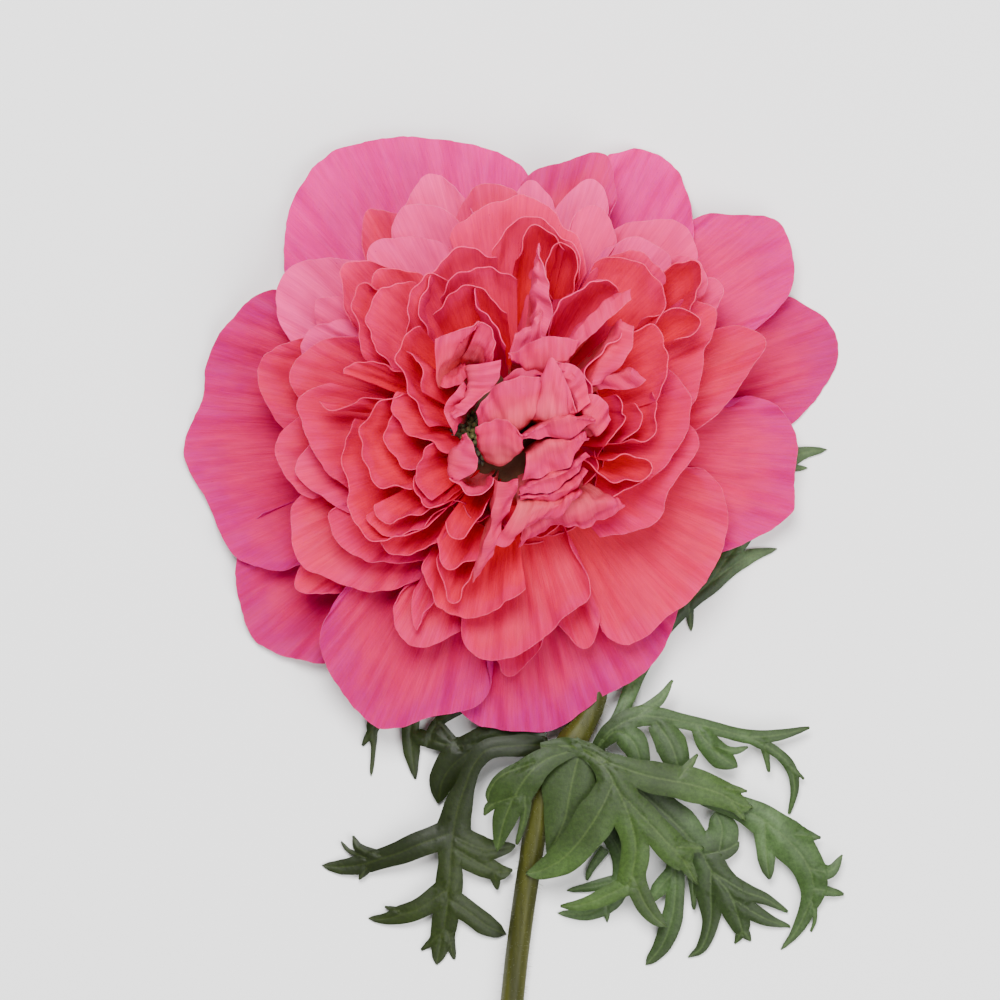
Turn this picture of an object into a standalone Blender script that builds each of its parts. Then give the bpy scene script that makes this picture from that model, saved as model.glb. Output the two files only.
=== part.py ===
"""A double anemone, cut and laid down with its bloom facing up.

Lengths are in millimetres up to the point where a mesh is made, and MM turns them into metres.
The surface it lies on is z = 0, and the stem runs towards -Y. Points are measured from the
bloom's centre, and BLOOM_PLACE then sets the flower down with its middle over x = 0, y = 0.
The bloom's petals are given by their rims as they are seen from above.
"""
import math

import bmesh
import bpy
from mathutils import Vector
from mathutils.geometry import delaunay_2d_cdt

MM = 0.001
CLEARANCE = 0.3

BLOOM_PLACE = (-0.8, 72.5, -0.08)

PETAL_THICKNESS = 0.6
FACET_LENGTH = 8.5
FOLDED_FACET_LENGTH = 7.0
MOST_FACETS = 8
# Petals that lie low, and narrow ones, need fewer rows of facets from root to rim.
LOW_LEAN = 12
WIDE_FACETS = 5
# Petals grow out of a small ring in the core: those that reach out least start highest.
ROOT_Z = 22.8
ROOT_DROP = 7.2
ROOT_DROP_REACH = 40.0
ROOT_RADIUS = 4.5
ROOT_SHARE = 0.3
ROOT_HALF_WIDTH = 2.2
ROOT_WIDTH_SHARE = 0.25
ROOT_WIDTH_LEAST = 0.6
# A petal leaves its root flat or rising, and meets its rim at its lean. These are shares of its
# reach, of its rise when flat and when steep, and of its whole length. The steeper a petal stands
# at its rim, the flatter it leaves its root, so it is cupped.
FIRST_REACH = 0.33
FIRST_RISE = 0.33
STEEP_RISE = 0.42
LAST_PULL = 0.38
# A folded petal stands on the core up to its knee, and its face bulges by this share.
KNEE_SHARE = 0.8
KNEE_Z = 26.0
BULGE = 0.12

CORE_CENTRE_Z = 19.5
CORE_RADIUS = 17.0
CORE_HEIGHT = 16.6
NECK_RADIUS = 3.6
NECK_BOTTOM_Z = 11.0

STEM_RADIUS = 1.8
STEM_POINTS = 60
COLLAR_RADIUS = 2.4
COLLAR_REACH = 2.5
LEAF_THICKNESS = 0.7
# Rib points weigh by one over their squared distance, and this keeps a near one from taking all.
RIB_SPREAD = 0.05
OUTLINE_MERGE = 0.02
CURVE_STEPS = 12
UP = Vector((0, 0, 1))

PETAL_COLOUR = (0.80, 0.10, 0.19)
LEAF_COLOUR = (0.075, 0.13, 0.05)
STEM_COLOUR = (0.10, 0.095, 0.02)

# A rim is (height at its start, middle and end), how steeply the petal rises at the rim in degrees,
# and points (x, y).
GUARD_TEPALS = [
    ((10, 4, 12), -4, [(-31, 15), (-34, 23.5), (-33.5, 33), (-28, 42), (-19, 45), (-6, 44),
                       (2.5, 39.2), (1, 31)]),
    ((13, 10, 13), -2, [(0.5, 34), (2.6, 39), (8, 41), (13.5, 42.3), (15.2, 40), (15.5, 33)]),
    ((9, 0.5, 9), -3, [(12.5, 35), (13.5, 41.5), (17.3, 43.2), (21, 42.9), (25.5, 39.8), (27.5, 35),
                       (28.5, 29)]),
    ((6, 5, 7), -3, [(26, 31), (29, 33.3), (34, 33.4), (40, 32.2), (42.5, 27), (42.3, 21.5),
                     (38, 16)]),
    ((4, 0.4, 3), -2, [(36, 22.5), (43, 20.5), (48, 17), (49.6, 12.6), (47.6, 7.5), (42.3, 1.5),
                       (36, -1)]),
    ((8, 5, 8), -4, [(28, -20), (36, -16.2), (42, -12), (42.8, -6), (42.6, 1), (38, 5.6), (30, 5)]),
    ((8, 7, 9), -4, [(-11, -37), (-6, -43.2), (1.5, -44.8), (7, -44.3), (12, -40.8), (18.5, -36.8),
                     (23.5, -31.5), (27, -21)]),
    ((12, 8.5, 12), -4, [(-25, -22), (-28.4, -29.5), (-26.5, -36.5), (-19.8, -44), (-12, -42.5),
                         (-4.5, -40.5), (-2.7, -35), (-3, -30)]),
    ((4, 0.8, 6), -3, [(-39.5, -12), (-41.5, -19), (-40.5, -26), (-37.5, -31.5), (-28, -34.6),
                       (-22, -32)]),
    ((10, 1.5, 9), -3, [(-31, 21.5), (-38, 21), (-44.5, 14.5), (-46.5, 6), (-49.3, -2.3), (-46.5, -9),
                        (-42, -17.6), (-37, -20), (-30, -20)]),
]

# The broad petals of the second round, which lie nearly flat on the guard tepals.
OUTER_PETALS = [
    ((13, 14, 17), 12, [(-33, 13), (-35, 19.5), (-33.8, 24), (-30, 26), (-22, 26.5)]),
    ((15, 17, 18), 12, [(-29, 15), (-28.9, 20), (-25, 21)]),
    ((14, 14, 17), 12, [(-34, 0), (-37.6, 7), (-37.2, 11.6), (-35, 13.3), (-29, 15.4)]),
    ((17, 18, 19), 12, [(-30, 9), (-31, 13.5), (-29, 16.2), (-24, 17.4)]),
    ((20, 20, 22), 20, [(-30, 4), (-32.7, 8), (-31, 11.8), (-27, 13.6), (-23, 15)]),
    ((15, 17, 17), 12, [(-30, 4), (-34.5, -0.3), (-34.8, -4.5), (-31, -10)]),
    ((19, 20, 20), 20, [(-29, 0), (-32, -5), (-28, -9.8), (-23, -12.5)]),
    ((23, 24, 23), 30, [(-28, 8), (-31.3, 4.5), (-29.4, -2.3), (-24, -8.5)]),
    ((16, 15, 17), 12, [(-30, -7), (-32.8, -11), (-32, -19), (-27, -21.8), (-20, -23.6),
                        (-14, -22.5)]),
    ((20, 20, 21), 20, [(-25, -9.5), (-27.4, -12.2), (-24, -18), (-16, -19.5), (-10, -18.6)]),
    ((9, 10, 10), 12, [(-31, -18), (-32.2, -23.5), (-24, -24)]),
    ((16, 17, 17), 20, [(-13.5, -21), (-17.4, -26.3), (-15, -31.3), (-10.5, -30.8), (-3.5, -26.3)]),
    ((18, 19, 20), 20, [(-15, -24.5), (-13.8, -29.4), (-11, -24.5)]),
    ((18, 19, 20), 20, [(-8, -27), (-6.8, -31.8), (-2, -33.9), (3.5, -31.8), (9.5, -26.3), (12.3, -23),
                        (10.5, -17.5)]),
    ((13, 12, 13), 12, [(-3, -32.5), (0, -36.3), (5.5, -31)]),
    ((14, 14, 14), 12, [(6, -27.5), (11.3, -32), (14, -28)]),
    ((14, 13, 14), 12, [(24, -4.5), (30.5, -6.6), (32.6, -12.5), (31, -19.5), (25.5, -25.8),
                        (17, -31.4), (11.5, -26)]),
    ((22, 22, 22), 20, [(26, 3), (28.2, -1), (24, -8), (21.5, -13.2), (14, -16)]),
    ((26, 26, 26), 30, [(22.5, 11), (26.6, 5.5), (25.3, -1), (21.5, -7)]),
    ((21, 21, 22), 20, [(26.5, 21), (30.9, 18.3), (29, 12.5), (28.5, 7.5), (25.5, 2)]),
    ((14, 14, 16), 12, [(29, 15.8), (34.5, 16.5), (38.2, 13.6), (35.5, 8.5), (29, 0.5)]),
    ((16, 16, 18), 20, [(14, 29.5), (18, 31.6), (25.5, 31.7), (28.5, 26.5)]),
    ((20, 20, 21), 20, [(13.5, 27), (19, 29.5), (24.9, 26)]),
    ((24, 24, 24), 30, [(12.5, 25.5), (19, 27.3), (24, 23.5)]),
    ((19, 19, 20), 20, [(24.5, 27), (28.3, 25.7), (29.9, 22)]),
    ((18, 18, 19), 20, [(29, 23.8), (31.6, 22), (31, 18.5)]),
    ((16, 15, 16), 12, [(-18, 30), (-15, 36), (-12.3, 39.2), (-8.5, 37.5), (-4.5, 33)]),
    ((19, 19, 20), 20, [(-18, 28.5), (-16.5, 34), (-12.5, 34.6), (-8, 33.3)]),
    ((13, 13, 15), 12, [(-22.5, 26.5), (-21.8, 33), (-19.5, 33.8), (-15, 33)]),
    ((21, 21, 22), 20, [(-21.3, 24), (-20.3, 27.8), (-16, 29.4), (-10, 29)]),
    ((16, 16, 16), 12, [(-9, 31.5), (-6, 36.2), (-3, 37.6), (1, 36.6), (3.5, 33)]),
    ((13, 13, 13), 12, [(-0.5, 34), (3, 38.3), (7, 35)]),
    ((15, 15, 15), 12, [(6.5, 33.5), (11.3, 38), (13.8, 36.5), (15, 32)]),
    ((20, 20, 20), 20, [(8.6, 28), (10.5, 33.3), (13, 34.2), (15.3, 30), (14, 26)]),
]

# The ruffled petals between, standing side by side round the heart.
RUFFLES = [
    ((22, 24, 24), 47, [(-24.5, 17), (-25.8, 24.3), (-21, 26), (-16.5, 24.5)]),
    ((27, 28, 27), 50, [(-22, 11.5), (-23.2, 20), (-21.5, 22.4), (-18.5, 22)]),
    ((26, 27, 27), 52, [(-21.5, 21), (-19.5, 23.9), (-13.5, 24)]),
    ((29, 31, 30), 57, [(-18, 10), (-20.4, 15), (-20.2, 20.5), (-14, 22.5)]),
    ((31, 32, 31), 57, [(-15.5, 14), (-15.8, 19), (-12.8, 23.7), (-9.5, 24)]),
    ((28, 28, 28), 32, [(-25.6, 9.5), (-21, 11.2), (-15, 10)]),
    ((27, 28, 28), 32, [(-29, 5.4), (-25, 4.4), (-20, 6)]),
    ((34, 33, 33), 60, [(-16.5, 6.6), (-20, 5), (-22.6, -1), (-20.5, -7), (-15, -8.8)]),
    ((32, 32, 32), 62, [(-17.2, 5), (-18.4, -0.5), (-15, -4.8), (-12, -4)]),
    ((34, 34, 35), 62, [(-17.2, 6.5), (-15.8, 2), (-12, -0.6), (-9.3, -2.8)]),
    ((27, 28, 30), 52, [(-24.4, 2.5), (-24.9, -4), (-23.5, -12.5), (-19, -16.6), (-9.8, -12)]),
    ((31, 31, 32), 37, [(-21, -11), (-17.5, -13.6), (-11, -11)]),
    ((29, 29, 31), 44, [(-22.2, -12.5), (-18, -14.9), (-11, -12.8)]),
    ((25, 25, 27), 42, [(-20.5, -16), (-15.5, -18.2), (-10.5, -16.4)]),
    ((33, 33, 34), 67, [(-15, -6.5), (-13.6, -10.4), (-10.2, -11)]),
    ((35, 34, 34), 67, [(-11.6, -1.5), (-13.2, -5.5), (-11.8, -10)]),
    ((34, 35, 35), 72, [(-11.5, 1.5), (-15, 6.5), (-16.4, 12), (-13.4, 16.2)]),
    ((35, 37, 36), 67, [(-15.5, 13), (-12.7, 11), (-13.5, 6.5)]),
    ((30, 31, 30), 82, [(-12, 14.3), (-12.3, 21), (-8, 26.6), (-2, 26.2)]),
    ((32, 33, 32), 72, [(-10.6, 20.5), (-5.5, 24.8), (1, 23.2)]),
    ((34, 35, 34), 72, [(-11.7, 18), (-6.5, 21.6), (-0.5, 18.6)]),
    ((35, 35, 35), 72, [(-5.3, 22), (-4, 17.5), (-0.6, 13.4)]),
    ((24, 24, 25), 42, [(-9, 30), (-3, 34), (4, 34.6), (9.5, 29), (11.5, 25)]),
    ((28, 28, 29), 57, [(-3, 28.5), (3, 32.4), (8.5, 29.2), (11, 24)]),
    ((30, 31, 31), 82, [(0.5, 26.5), (4, 31), (8.3, 28)]),
    ((31, 31, 32), 84, [(6, 20), (5.3, 25), (7.5, 29), (10, 26), (9, 21)]),
    ((34, 34.5, 34), 80, [(5.6, 14.5), (6.2, 17.8), (8.3, 20.8), (11.5, 23), (14.6, 23.2),
                          (16.2, 21.3)]),
    ((26, 27, 26), 62, [(12.8, 25.5), (18.5, 26), (22.3, 22), (22.6, 17)]),
    ((24, 25, 24), 82, [(22.5, 22.5), (24.5, 25.4), (27.5, 24.5), (26.3, 18)]),
    ((25, 26, 26), 77, [(20, 16.3), (25.5, 18.4), (28, 16.8), (24.3, 14.6)]),
    ((34, 35, 34), 72, [(17, 17.2), (15.5, 13.5), (11.8, 9.5), (12.2, 5)]),
    ((30, 31, 30), 57, [(18.4, 16), (22, 15.8), (23.3, 9), (22.3, 5)]),
    ((29, 29, 29), 62, [(22, 6.5), (22.2, 1.5), (19.5, -1.4), (14, -1.9)]),
    ((34, 33, 33), 67, [(16.2, 6), (17.8, 2.5), (14.6, -1.7)]),
    ((32, 31, 31), 67, [(18.4, 4.4), (19.4, 2), (17, -1.4)]),
    ((32, 31, 32), 84, [(11.4, -3.3), (15.5, -7), (20.3, -5.2), (18, -3.2), (14.5, -3.9)]),
    ((28, 28, 29), 72, [(20.2, -5.5), (17, -8.8), (11.5, -9.4)]),
    ((33, 32, 33), 62, [(-9.9, -13.5), (-7, -15.5), (-3.2, -11)]),
    ((28, 28, 29), 57, [(-11, -16), (-9, -20.3), (-4, -17.6)]),
    ((25, 23, 25), 42, [(-12.7, -19.5), (-10.5, -25.6), (-4, -26.8), (2, -23.6)]),
    ((27, 26, 28), 57, [(-11.3, -19), (-8.6, -24.8), (-3.8, -17.5)]),
]

# The small folded petals over the middle show a face between a fold and a rim, both (x, y, z).
FOLDED_PETALS = [
    ([(-4.5, 0.8, 35.5), (-1.5, 1.1, 36.5), (1.1, 0.8, 37), (3.2, 2.2, 36.5)],
     [(-4.9, 3.0, 36.5), (-2.2, 6.8, 38.5), (1.1, 8.6, 39), (4.8, 8.6, 38)]),
    ([(-4.7, -2.2, 33.5), (-3.6, -3.9, 33), (-0.8, -4.3, 34), (1.9, -1.9, 35.5)],
     [(-5.1, 1.1, 38), (-2.6, 2.0, 39.2), (-0.4, 2.1, 39.4), (1.8, -0.3, 38.5)]),
    ([(3.2, 2.4, 36), (5.2, 1.9, 36.5), (7.5, 2.2, 36.5), (9.6, 2.8, 35.5)],
     [(4.1, 7.5, 38.5), (6.2, 11.0, 40), (8.6, 6.8, 39), (9.7, 3.2, 37.5)]),
    ([(6.8, 10.3, 37), (8.2, 7.9, 36.3), (9.2, 5.2, 35.6), (9.7, 3.0, 35)],
     [(6.6, 10.9, 38), (9.0, 10.1, 37), (10.6, 8.2, 36.2), (11.9, 5.2, 35)]),
    ([(0.1, 10.5, 35.3), (2.6, 9.3, 35.8), (6.4, 9.5, 36.2), (9.0, 11.2, 36.5)],
     [(-0.1, 11.1, 36.5), (2.6, 13.1, 37.6), (6.0, 14.2, 38), (10.3, 14.0, 37)]),
    ([(-0.9, 6.8, 34.5), (1.1, 7.5, 35), (3.4, 8.2, 35.5), (5.2, 8.6, 35.5)],
     [(-0.9, 8.7, 35.4), (1.1, 9.5, 35.8), (3.4, 9.8, 36), (5.4, 9.5, 36)]),
    ([(-10.8, 7.2, 34), (-9.8, 9.6, 35.2), (-7.5, 12.4, 36.8), (-4.9, 15.8, 38)],
     [(-10.9, 13.9, 37.6), (-9.0, 15.0, 38.6), (-6.0, 15.9, 39), (-4.5, 16.4, 38.6)]),
    ([(-7.5, 10.5, 31), (-6.0, 10.3, 31), (-4.5, 10.1, 31), (-2.6, 9.8, 32)],
     [(-4.5, 16.4, 38.3), (-2.9, 15.5, 38.2), (-2.2, 13.5, 37.6), (-2.1, 11.1, 36.5)]),
    ([(-9.0, 9.8, 30), (-8.1, 10.1, 30), (-7.1, 10.3, 30), (-6.0, 10.3, 30)],
     [(-10.8, 7.4, 33), (-9.6, 6.7, 33.6), (-7.9, 7.1, 33.6), (-6.4, 9.5, 33)]),
    ([(-8.6, 2.8, 34.4), (-7.1, 4.9, 35.6), (-6.4, 7.1, 36.2), (-6.5, 9.9, 36.6)],
     [(-7.9, 2.1, 36.4), (-4.8, 4.9, 37.9), (-2.1, 7.6, 38.4), (-1.5, 10.9, 38.8)]),
    ([(-7.9, 1.7, 33.4), (-7.5, 3.4, 34), (-6.9, 4.9, 34.6), (-6.3, 6.8, 35)],
     [(-8.2, -0.1, 33.6), (-9.4, 2.1, 34.6), (-9.6, 4.2, 35.2), (-6.9, 7.8, 36)]),
    ([(-8.6, -6.2, 34.4), (-9.1, -4.5, 34.6), (-8.4, -2.2, 35), (-7.1, -0.3, 35.6)],
     [(-7.5, -7.0, 35.4), (-5.3, -5.4, 36.4), (-5.2, -3.4, 37.2), (-6.4, 0.2, 37)]),
    ([(-8.2, -7.0, 32.8), (-6.4, -7.9, 32.4), (-4.5, -7.8, 32.4), (-2.9, -6.6, 33.4)],
     [(-9.1, -6.6, 35.4), (-7.1, -8.7, 35), (-4.5, -9.0, 35), (-2.2, -6.7, 36)]),
    ([(1.5, -0.6, 36.3), (4.1, 1.3, 36.9), (7.5, 2.7, 37.4), (12.5, 2.1, 36.9)],
     [(1.9, -0.8, 36.6), (4.9, -0.8, 36.2), (8.4, -0.6, 36.1), (12.5, 1.9, 36.7)]),
    ([(2.4, -3.0, 34.9), (4.9, -1.1, 35.3), (8.2, -0.7, 35.4), (11.2, -0.2, 35.4)],
     [(1.9, -6.9, 34.6), (4.5, -6.2, 34.3), (8.2, -4.9, 34.3), (11.3, -0.4, 35.3)]),
    ([(1.5, -8.2, 33.4), (4.5, -6.4, 33.6), (8.2, -5.1, 33.8), (11.5, -3.0, 34.1)],
     [(1.1, -8.8, 33.3), (4.5, -8.7, 32.9), (8.6, -7.5, 32.9), (11.5, -3.8, 33.9)]),
    ([(1.5, -9.1, 32.3), (5.2, -8.7, 32.3), (9.0, -7.5, 32.5), (11.3, -5.2, 32.9)],
     [(1.5, -10.0, 31.9), (4.9, -10.2, 31.4), (8.6, -9.4, 31.5), (11.5, -6.2, 32.7)]),
    ([(1.1, -10.3, 31.2), (4.1, -10.2, 31.4), (7.5, -9.8, 31.5), (10.5, -8.2, 31.9)],
     [(-2.2, -16.0, 30.2), (-0.6, -16.8, 29.8), (1.5, -14.7, 29.8), (4.5, -13.2, 30.1),
      (7.5, -11.6, 30.8), (10.4, -8.5, 31.7)]),
    ([(1.5, -14.2, 28.2), (4.5, -10.2, 29.6), (9.0, -9.6, 29.6), (13.5, -9.6, 29.2),
      (16.9, -10.4, 28.5)],
     [(1.7, -17.4, 26.8), (3.8, -15.7, 26.8), (7.1, -13.9, 27.1), (11.2, -14.2, 27.1),
      (14.1, -12.8, 27.6), (17.1, -10.9, 28.3)]),
    ([(3.4, 15.8, 33.8), (3.5, 20.8, 35.4), (3.8, 25.1, 36.6), (4.1, 27.8, 38.4)],
     [(4.9, 14.2, 34.4), (6.3, 18.4, 36), (5.8, 22.9, 37.6), (4.3, 27.8, 39)]),
    ([(0.8, 15.0, 34.8), (2.8, 15.5, 35.2), (4.0, 17.1, 35.6), (4.5, 18.4, 35.9)],
     [(-0.1, 11.2, 34.4), (1.5, 12.0, 34.5), (3.8, 13.1, 34.6), (5.1, 14.1, 34.9)]),
    ([(6.9, 12.0, 33.8), (9.4, 14.9, 34.3), (12.8, 18.4, 34.2), (17.5, 21.4, 33.6)],
     [(7.7, 9.8, 34.3), (10.3, 13.1, 34.8), (13.9, 16.6, 34.6), (17.8, 19.9, 33.9)]),
    ([(11.7, 6.8, 32.3), (12.1, 9.8, 32.9), (14.2, 13.1, 33.2), (16.3, 16.5, 33.4)],
     [(13.5, 8.8, 33), (16.3, 10.3, 33.7), (17.9, 13.1, 33.9), (18.3, 15.8, 33.7)]),
    ([(12.3, 7.3, 31.5), (13.1, 8.6, 32), (15.2, 9.1, 32.3), (18.2, 9.3, 32.3)],
     [(13.2, 6.3, 31.8), (15.8, 6.4, 32.2), (18.6, 6.6, 32.3), (20.2, 8.0, 32.4)]),
    ([(9.8, 4.7, 33.8), (10.4, 3.0, 33.8), (11.2, 1.1, 33.6), (12.8, -0.1, 32.9)],
     [(9.8, 5.4, 35), (12.2, 5.9, 35.2), (14.1, 4.5, 34.8), (15.1, 1.9, 33.8)]),
    ([(-2.2, -6.8, 34.8), (-2.7, -10.9, 33), (-3.7, -15.8, 30), (-5.9, -21.9, 26.6)],
     [(1.2, -6.7, 33.4), (0.4, -10.1, 32), (-1.4, -14.2, 30), (-3.2, -19.3, 27.6)]),
]

# The stem curls down under the bloom and then lies along the surface.
STEM_ROUTE = [
    (0, 0, 10.2), (0, -0.1, 9.4), (0.3, -1.2, 7.5), (1.2, -4, 4.9), (3.6, -12, 3.2), (8, -24, 3.0),
    (12.6, -35, 3.8), (12.6, -40.5, 4.8), (9.2, -46.4, 5.4), (5.0, -54, 4.8), (3.0, -65, 3.4),
    (1.4, -76, 2.3), (0.4, -85, 1.9), (-1.6, -105, 1.8), (-3.2, -130, 1.8), (-3.0, -160, 1.8),
    (-0.5, -190, 1.8),
]
COLLAR_STOP = 8

# A leaf sheet is a list of lobes, and a lobe is a list of (x, y, height, half width) down its rib.
LEFT_BLADE = [
    [(5.0, -46.6, 6.8, 1.2), (1.5, -46.7, 7.9, 1.6), (-3.2, -47.2, 8.2, 1.5), (-5.5, -49.7, 7.6, 1.3),
     (-6.8, -53, 6.6, 1.4), (-7.8, -56, 5.8, 2.2), (-8.6, -60, 4.8, 2.6), (-9, -64.5, 4.2, 1.8),
     (-9.2, -68.3, 3.4, 2.0), (-9.6, -72, 2.4, 2.0), (-10.4, -76.5, 1.2, 1.7), (-11.1, -80, 0.5, 0.5)],
    [(-8.4, -59.8, 4.9, 2.0), (-13.5, -61.6, 4.6, 2.0), (-16.5, -62.9, 3.8, 1.7), (-19.5, -63.9, 2.8, 1.6),
     (-22.5, -64.8, 1.8, 1.4), (-25.5, -65.2, 1.0, 1.2), (-28.4, -65, 0.5, 0.3)],
    [(-19.5, -63.4, 2.8, 0.8), (-22.6, -62.4, 2.0, 0.7), (-23.7, -60.5, 1.6, 0.3)],
    [(-21.6, -63.8, 2.0, 0.6), (-24.2, -62.8, 1.3, 0.35), (-25.5, -61.4, 1.1, 0.25)],
    [(-21.6, -65.2, 1.9, 0.9), (-22.8, -67.1, 1.6, 0.3)],
    [(-9.2, -68.3, 3.4, 1.8), (-13.5, -71.3, 2.6, 1.6), (-16.5, -72.4, 1.8, 1.35), (-18.8, -73, 1.1, 0.9),
     (-21.4, -73, 0.5, 0.3)],
    [(-16.4, -72, 1.8, 0.7), (-18.9, -71.2, 1.2, 0.25)],
    [(-9.2, -70, 3.0, 1.8), (-6.3, -71.9, 2.4, 1.7), (-3.8, -73.8, 1.6, 1.6), (-1.8, -74.9, 0.9, 1.1),
     (-0.6, -75.3, 0.5, 0.4)],
    [(-10, -75, 1.6, 1.0), (-13.4, -77.8, 0.7, 0.3)],
    [(-9.4, -75, 1.5, 1.0), (-8.4, -79.2, 0.6, 0.4)],
    [(-8.3, -60.5, 4.8, 2.2), (-4.5, -62.3, 4.0, 1.9), (-1.5, -62.4, 3.2, 1.2), (0.8, -61.9, 2.6, 0.5)],
    [(-8, -62.5, 4.5, 2.0), (-3.8, -65, 3.4, 1.8), (-1.5, -65.9, 2.6, 1.2), (0.4, -65.6, 2.2, 0.4)],
    [(-2.4, -65.6, 3.0, 1.0), (-1.9, -68.6, 2.0, 0.4)],
]
LEFT_BACK = [
    [(5.2, -46.0, 6.3, 1.0), (3.4, -45.4, 5.8, 1.8), (0.8, -45.0, 5.2, 2.4), (-3, -45.9, 4.4, 2.5),
     (-8, -49.2, 3.2, 2.8), (-10.2, -52.2, 2.2, 2.1), (-10.8, -55.6, 1.2, 0.4)],
    [(-3, -46, 4.4, 1.4), (-8.5, -46.8, 3.2, 1.2), (-14.6, -45.2, 2.0, 1.2)],
    [(-14.4, -39.5, 2.0, 1.2), (-15, -44, 1.8, 1.35), (-14.8, -48, 1.4, 1.2), (-14.3, -51.9, 0.8, 0.3)],
    [(-7.2, -41, 3.2, 0.8), (-11, -43.5, 2.6, 0.8), (-12.6, -47, 2.2, 0.7)],
    [(-7.5, -47.4, 3.2, 0.8), (-11.2, -42.6, 2.4, 0.4)],
    [(-14.4, -40, 2.0, 1.0), (-18, -40, 1.6, 1.3), (-20.6, -43.7, 1.2, 1.0), (-20.6, -47, 0.9, 0.4),
     (-21, -51.5, 0.5, 0.25)],
    [(-20, -43.2, 1.3, 0.8), (-22.3, -46.9, 0.8, 0.35)],
]
FRONT_SMALL = [
    [(10.8, -46.8, 8.6, 0.9), (8.4, -47.7, 9.2, 1.1), (5.7, -48.6, 9.6, 1.7), (3.1, -50.6, 9.8, 2.5),
     (0.8, -54, 9.0, 2.4), (-0.9, -58, 7.8, 1.7), (-1.7, -61.4, 6.6, 0.8), (-1.9, -62.6, 6.2, 0.3)],
    [(3.6, -49.2, 9.6, 1.0), (-1.1, -51.1, 9.0, 0.7), (-3, -53.4, 8.2, 0.55), (-3.3, -55.2, 7.6, 0.35)],
    [(1, -54.2, 8.9, 1.2), (-2.7, -55.6, 7.8, 0.8), (-3.9, -57.2, 7.4, 0.35)],
    [(2.2, -54.2, 8.9, 1.2), (2.2, -57.4, 8.0, 0.6), (1.0, -61.6, 6.8, 0.35)],
]
FRONT_BACK = [
    [(10.6, -47.3, 8.3, 1.2), (9.8, -50.2, 7.9, 3.0), (9.0, -53.8, 7.5, 4.2), (8.3, -57.6, 6.9, 3.4),
     (6.7, -61.4, 6.3, 1.5), (5.6, -63.4, 6.1, 0.3)],
]
FRONT_BLADE = [
    [(9.4, -46.4, 8.5, 1.2), (11.4, -47.7, 8.8, 1.0), (14.3, -50, 9.6, 1.8), (16.5, -54, 9.8, 2.8),
     (18.3, -58.5, 9.0, 2.4), (18.9, -62.3, 8.0, 2.1), (18.5, -65.3, 7.2, 2.0), (17.9, -68, 6.4, 2.2)],
    [(17.9, -67.6, 6.5, 1.6), (13.5, -69.8, 5.6, 1.2), (10.5, -70.8, 4.8, 0.9), (7.6, -71, 4.2, 0.3)],
    [(18.5, -66.4, 6.8, 1.8), (20.3, -70.5, 5.4, 1.5), (22, -72.8, 4.6, 1.1), (23.5, -74, 4.2, 0.5)],
    [(15.4, -52.4, 9.8, 2.0), (13.4, -56.6, 9.6, 3.0), (10.5, -61, 8.6, 2.8), (7.5, -64, 7.6, 2.3),
     (4.5, -65.6, 6.6, 1.4), (2.4, -66, 6.2, 0.3)],
    [(16.8, -54, 9.8, 2.0), (21.8, -59.3, 8.6, 2.2), (24.8, -62.6, 7.6, 2.2), (27, -64.8, 6.6, 1.8)],
    [(26, -63.8, 7.0, 1.2), (28.3, -67.7, 5.6, 0.4)],
    [(25, -62, 7.6, 1.4), (29.2, -62.2, 6.4, 0.4)],
    [(4.6, -46.9, 9.3, 0.7), (8, -46.7, 9.2, 1.2), (11.6, -47.4, 9.0, 1.3), (14.6, -49, 9.4, 1.0)],
    [(12.2, -48.3, 9.0, 1.0), (15.8, -49.6, 9.6, 1.6), (21, -51.3, 9.2, 2.3), (27, -52.5, 8.4, 2.6),
     (31.5, -53.9, 7.4, 2.2), (34.8, -55.7, 6.6, 1.2), (36.5, -56, 6.2, 0.4)],
    [(25.6, -51.4, 8.7, 1.0), (28.2, -48, 8.2, 0.3)],
    [(32.6, -53.2, 7.2, 0.9), (35.7, -53.6, 6.6, 0.3)],
    [(33.4, -55.4, 7.0, 0.9), (35.4, -58, 6.4, 0.3)],
]
RIGHT_UPPER = [
    [(12.9, -47.4, 5.4, 0.9), (15.0, -44.6, 6.4, 1.3), (19.5, -42.3, 6.6, 1.6), (25.5, -43, 6.0, 1.2),
     (30.8, -44.2, 5.4, 1.0), (36, -45.4, 4.6, 1.0), (40.5, -45.2, 3.8, 0.9), (45.2, -44.1, 3.0, 0.25)],
    [(19, -42.4, 6.6, 1.2), (22.5, -39.8, 6.2, 0.8), (24.5, -36.9, 5.4, 0.25)],
    [(36, -45.5, 4.6, 0.8), (39.8, -47.5, 3.8, 0.8), (42.3, -50, 2.8, 0.8), (43, -53.3, 1.8, 0.7),
     (42.2, -57.2, 0.8, 0.25)],
    [(38.4, -46.8, 4.1, 0.7), (39.1, -50.8, 3.0, 0.25)],
    [(42.2, -49.8, 2.9, 0.5), (44.4, -51.9, 2.2, 0.2)],
    [(28, -43.6, 5.8, 0.8), (29.5, -46, 5.8, 1.7), (32, -48.6, 5.4, 1.8), (34.3, -50, 4.8, 0.5)],
    [(31, -47, 5.0, 0.8), (33.6, -47.6, 4.6, 0.6), (35.9, -47, 4.2, 0.3)],
    [(13.2, -47.0, 5.6, 0.9), (16, -44.6, 6.6, 1.6), (18.7, -46.4, 6.6, 2.1), (19.9, -50.2, 6.5, 1.3)],
    [(22, -43.2, 6.4, 1.4), (24.2, -46.5, 6.5, 2.5), (25.5, -50.4, 6.4, 1.6)],
]
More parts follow.
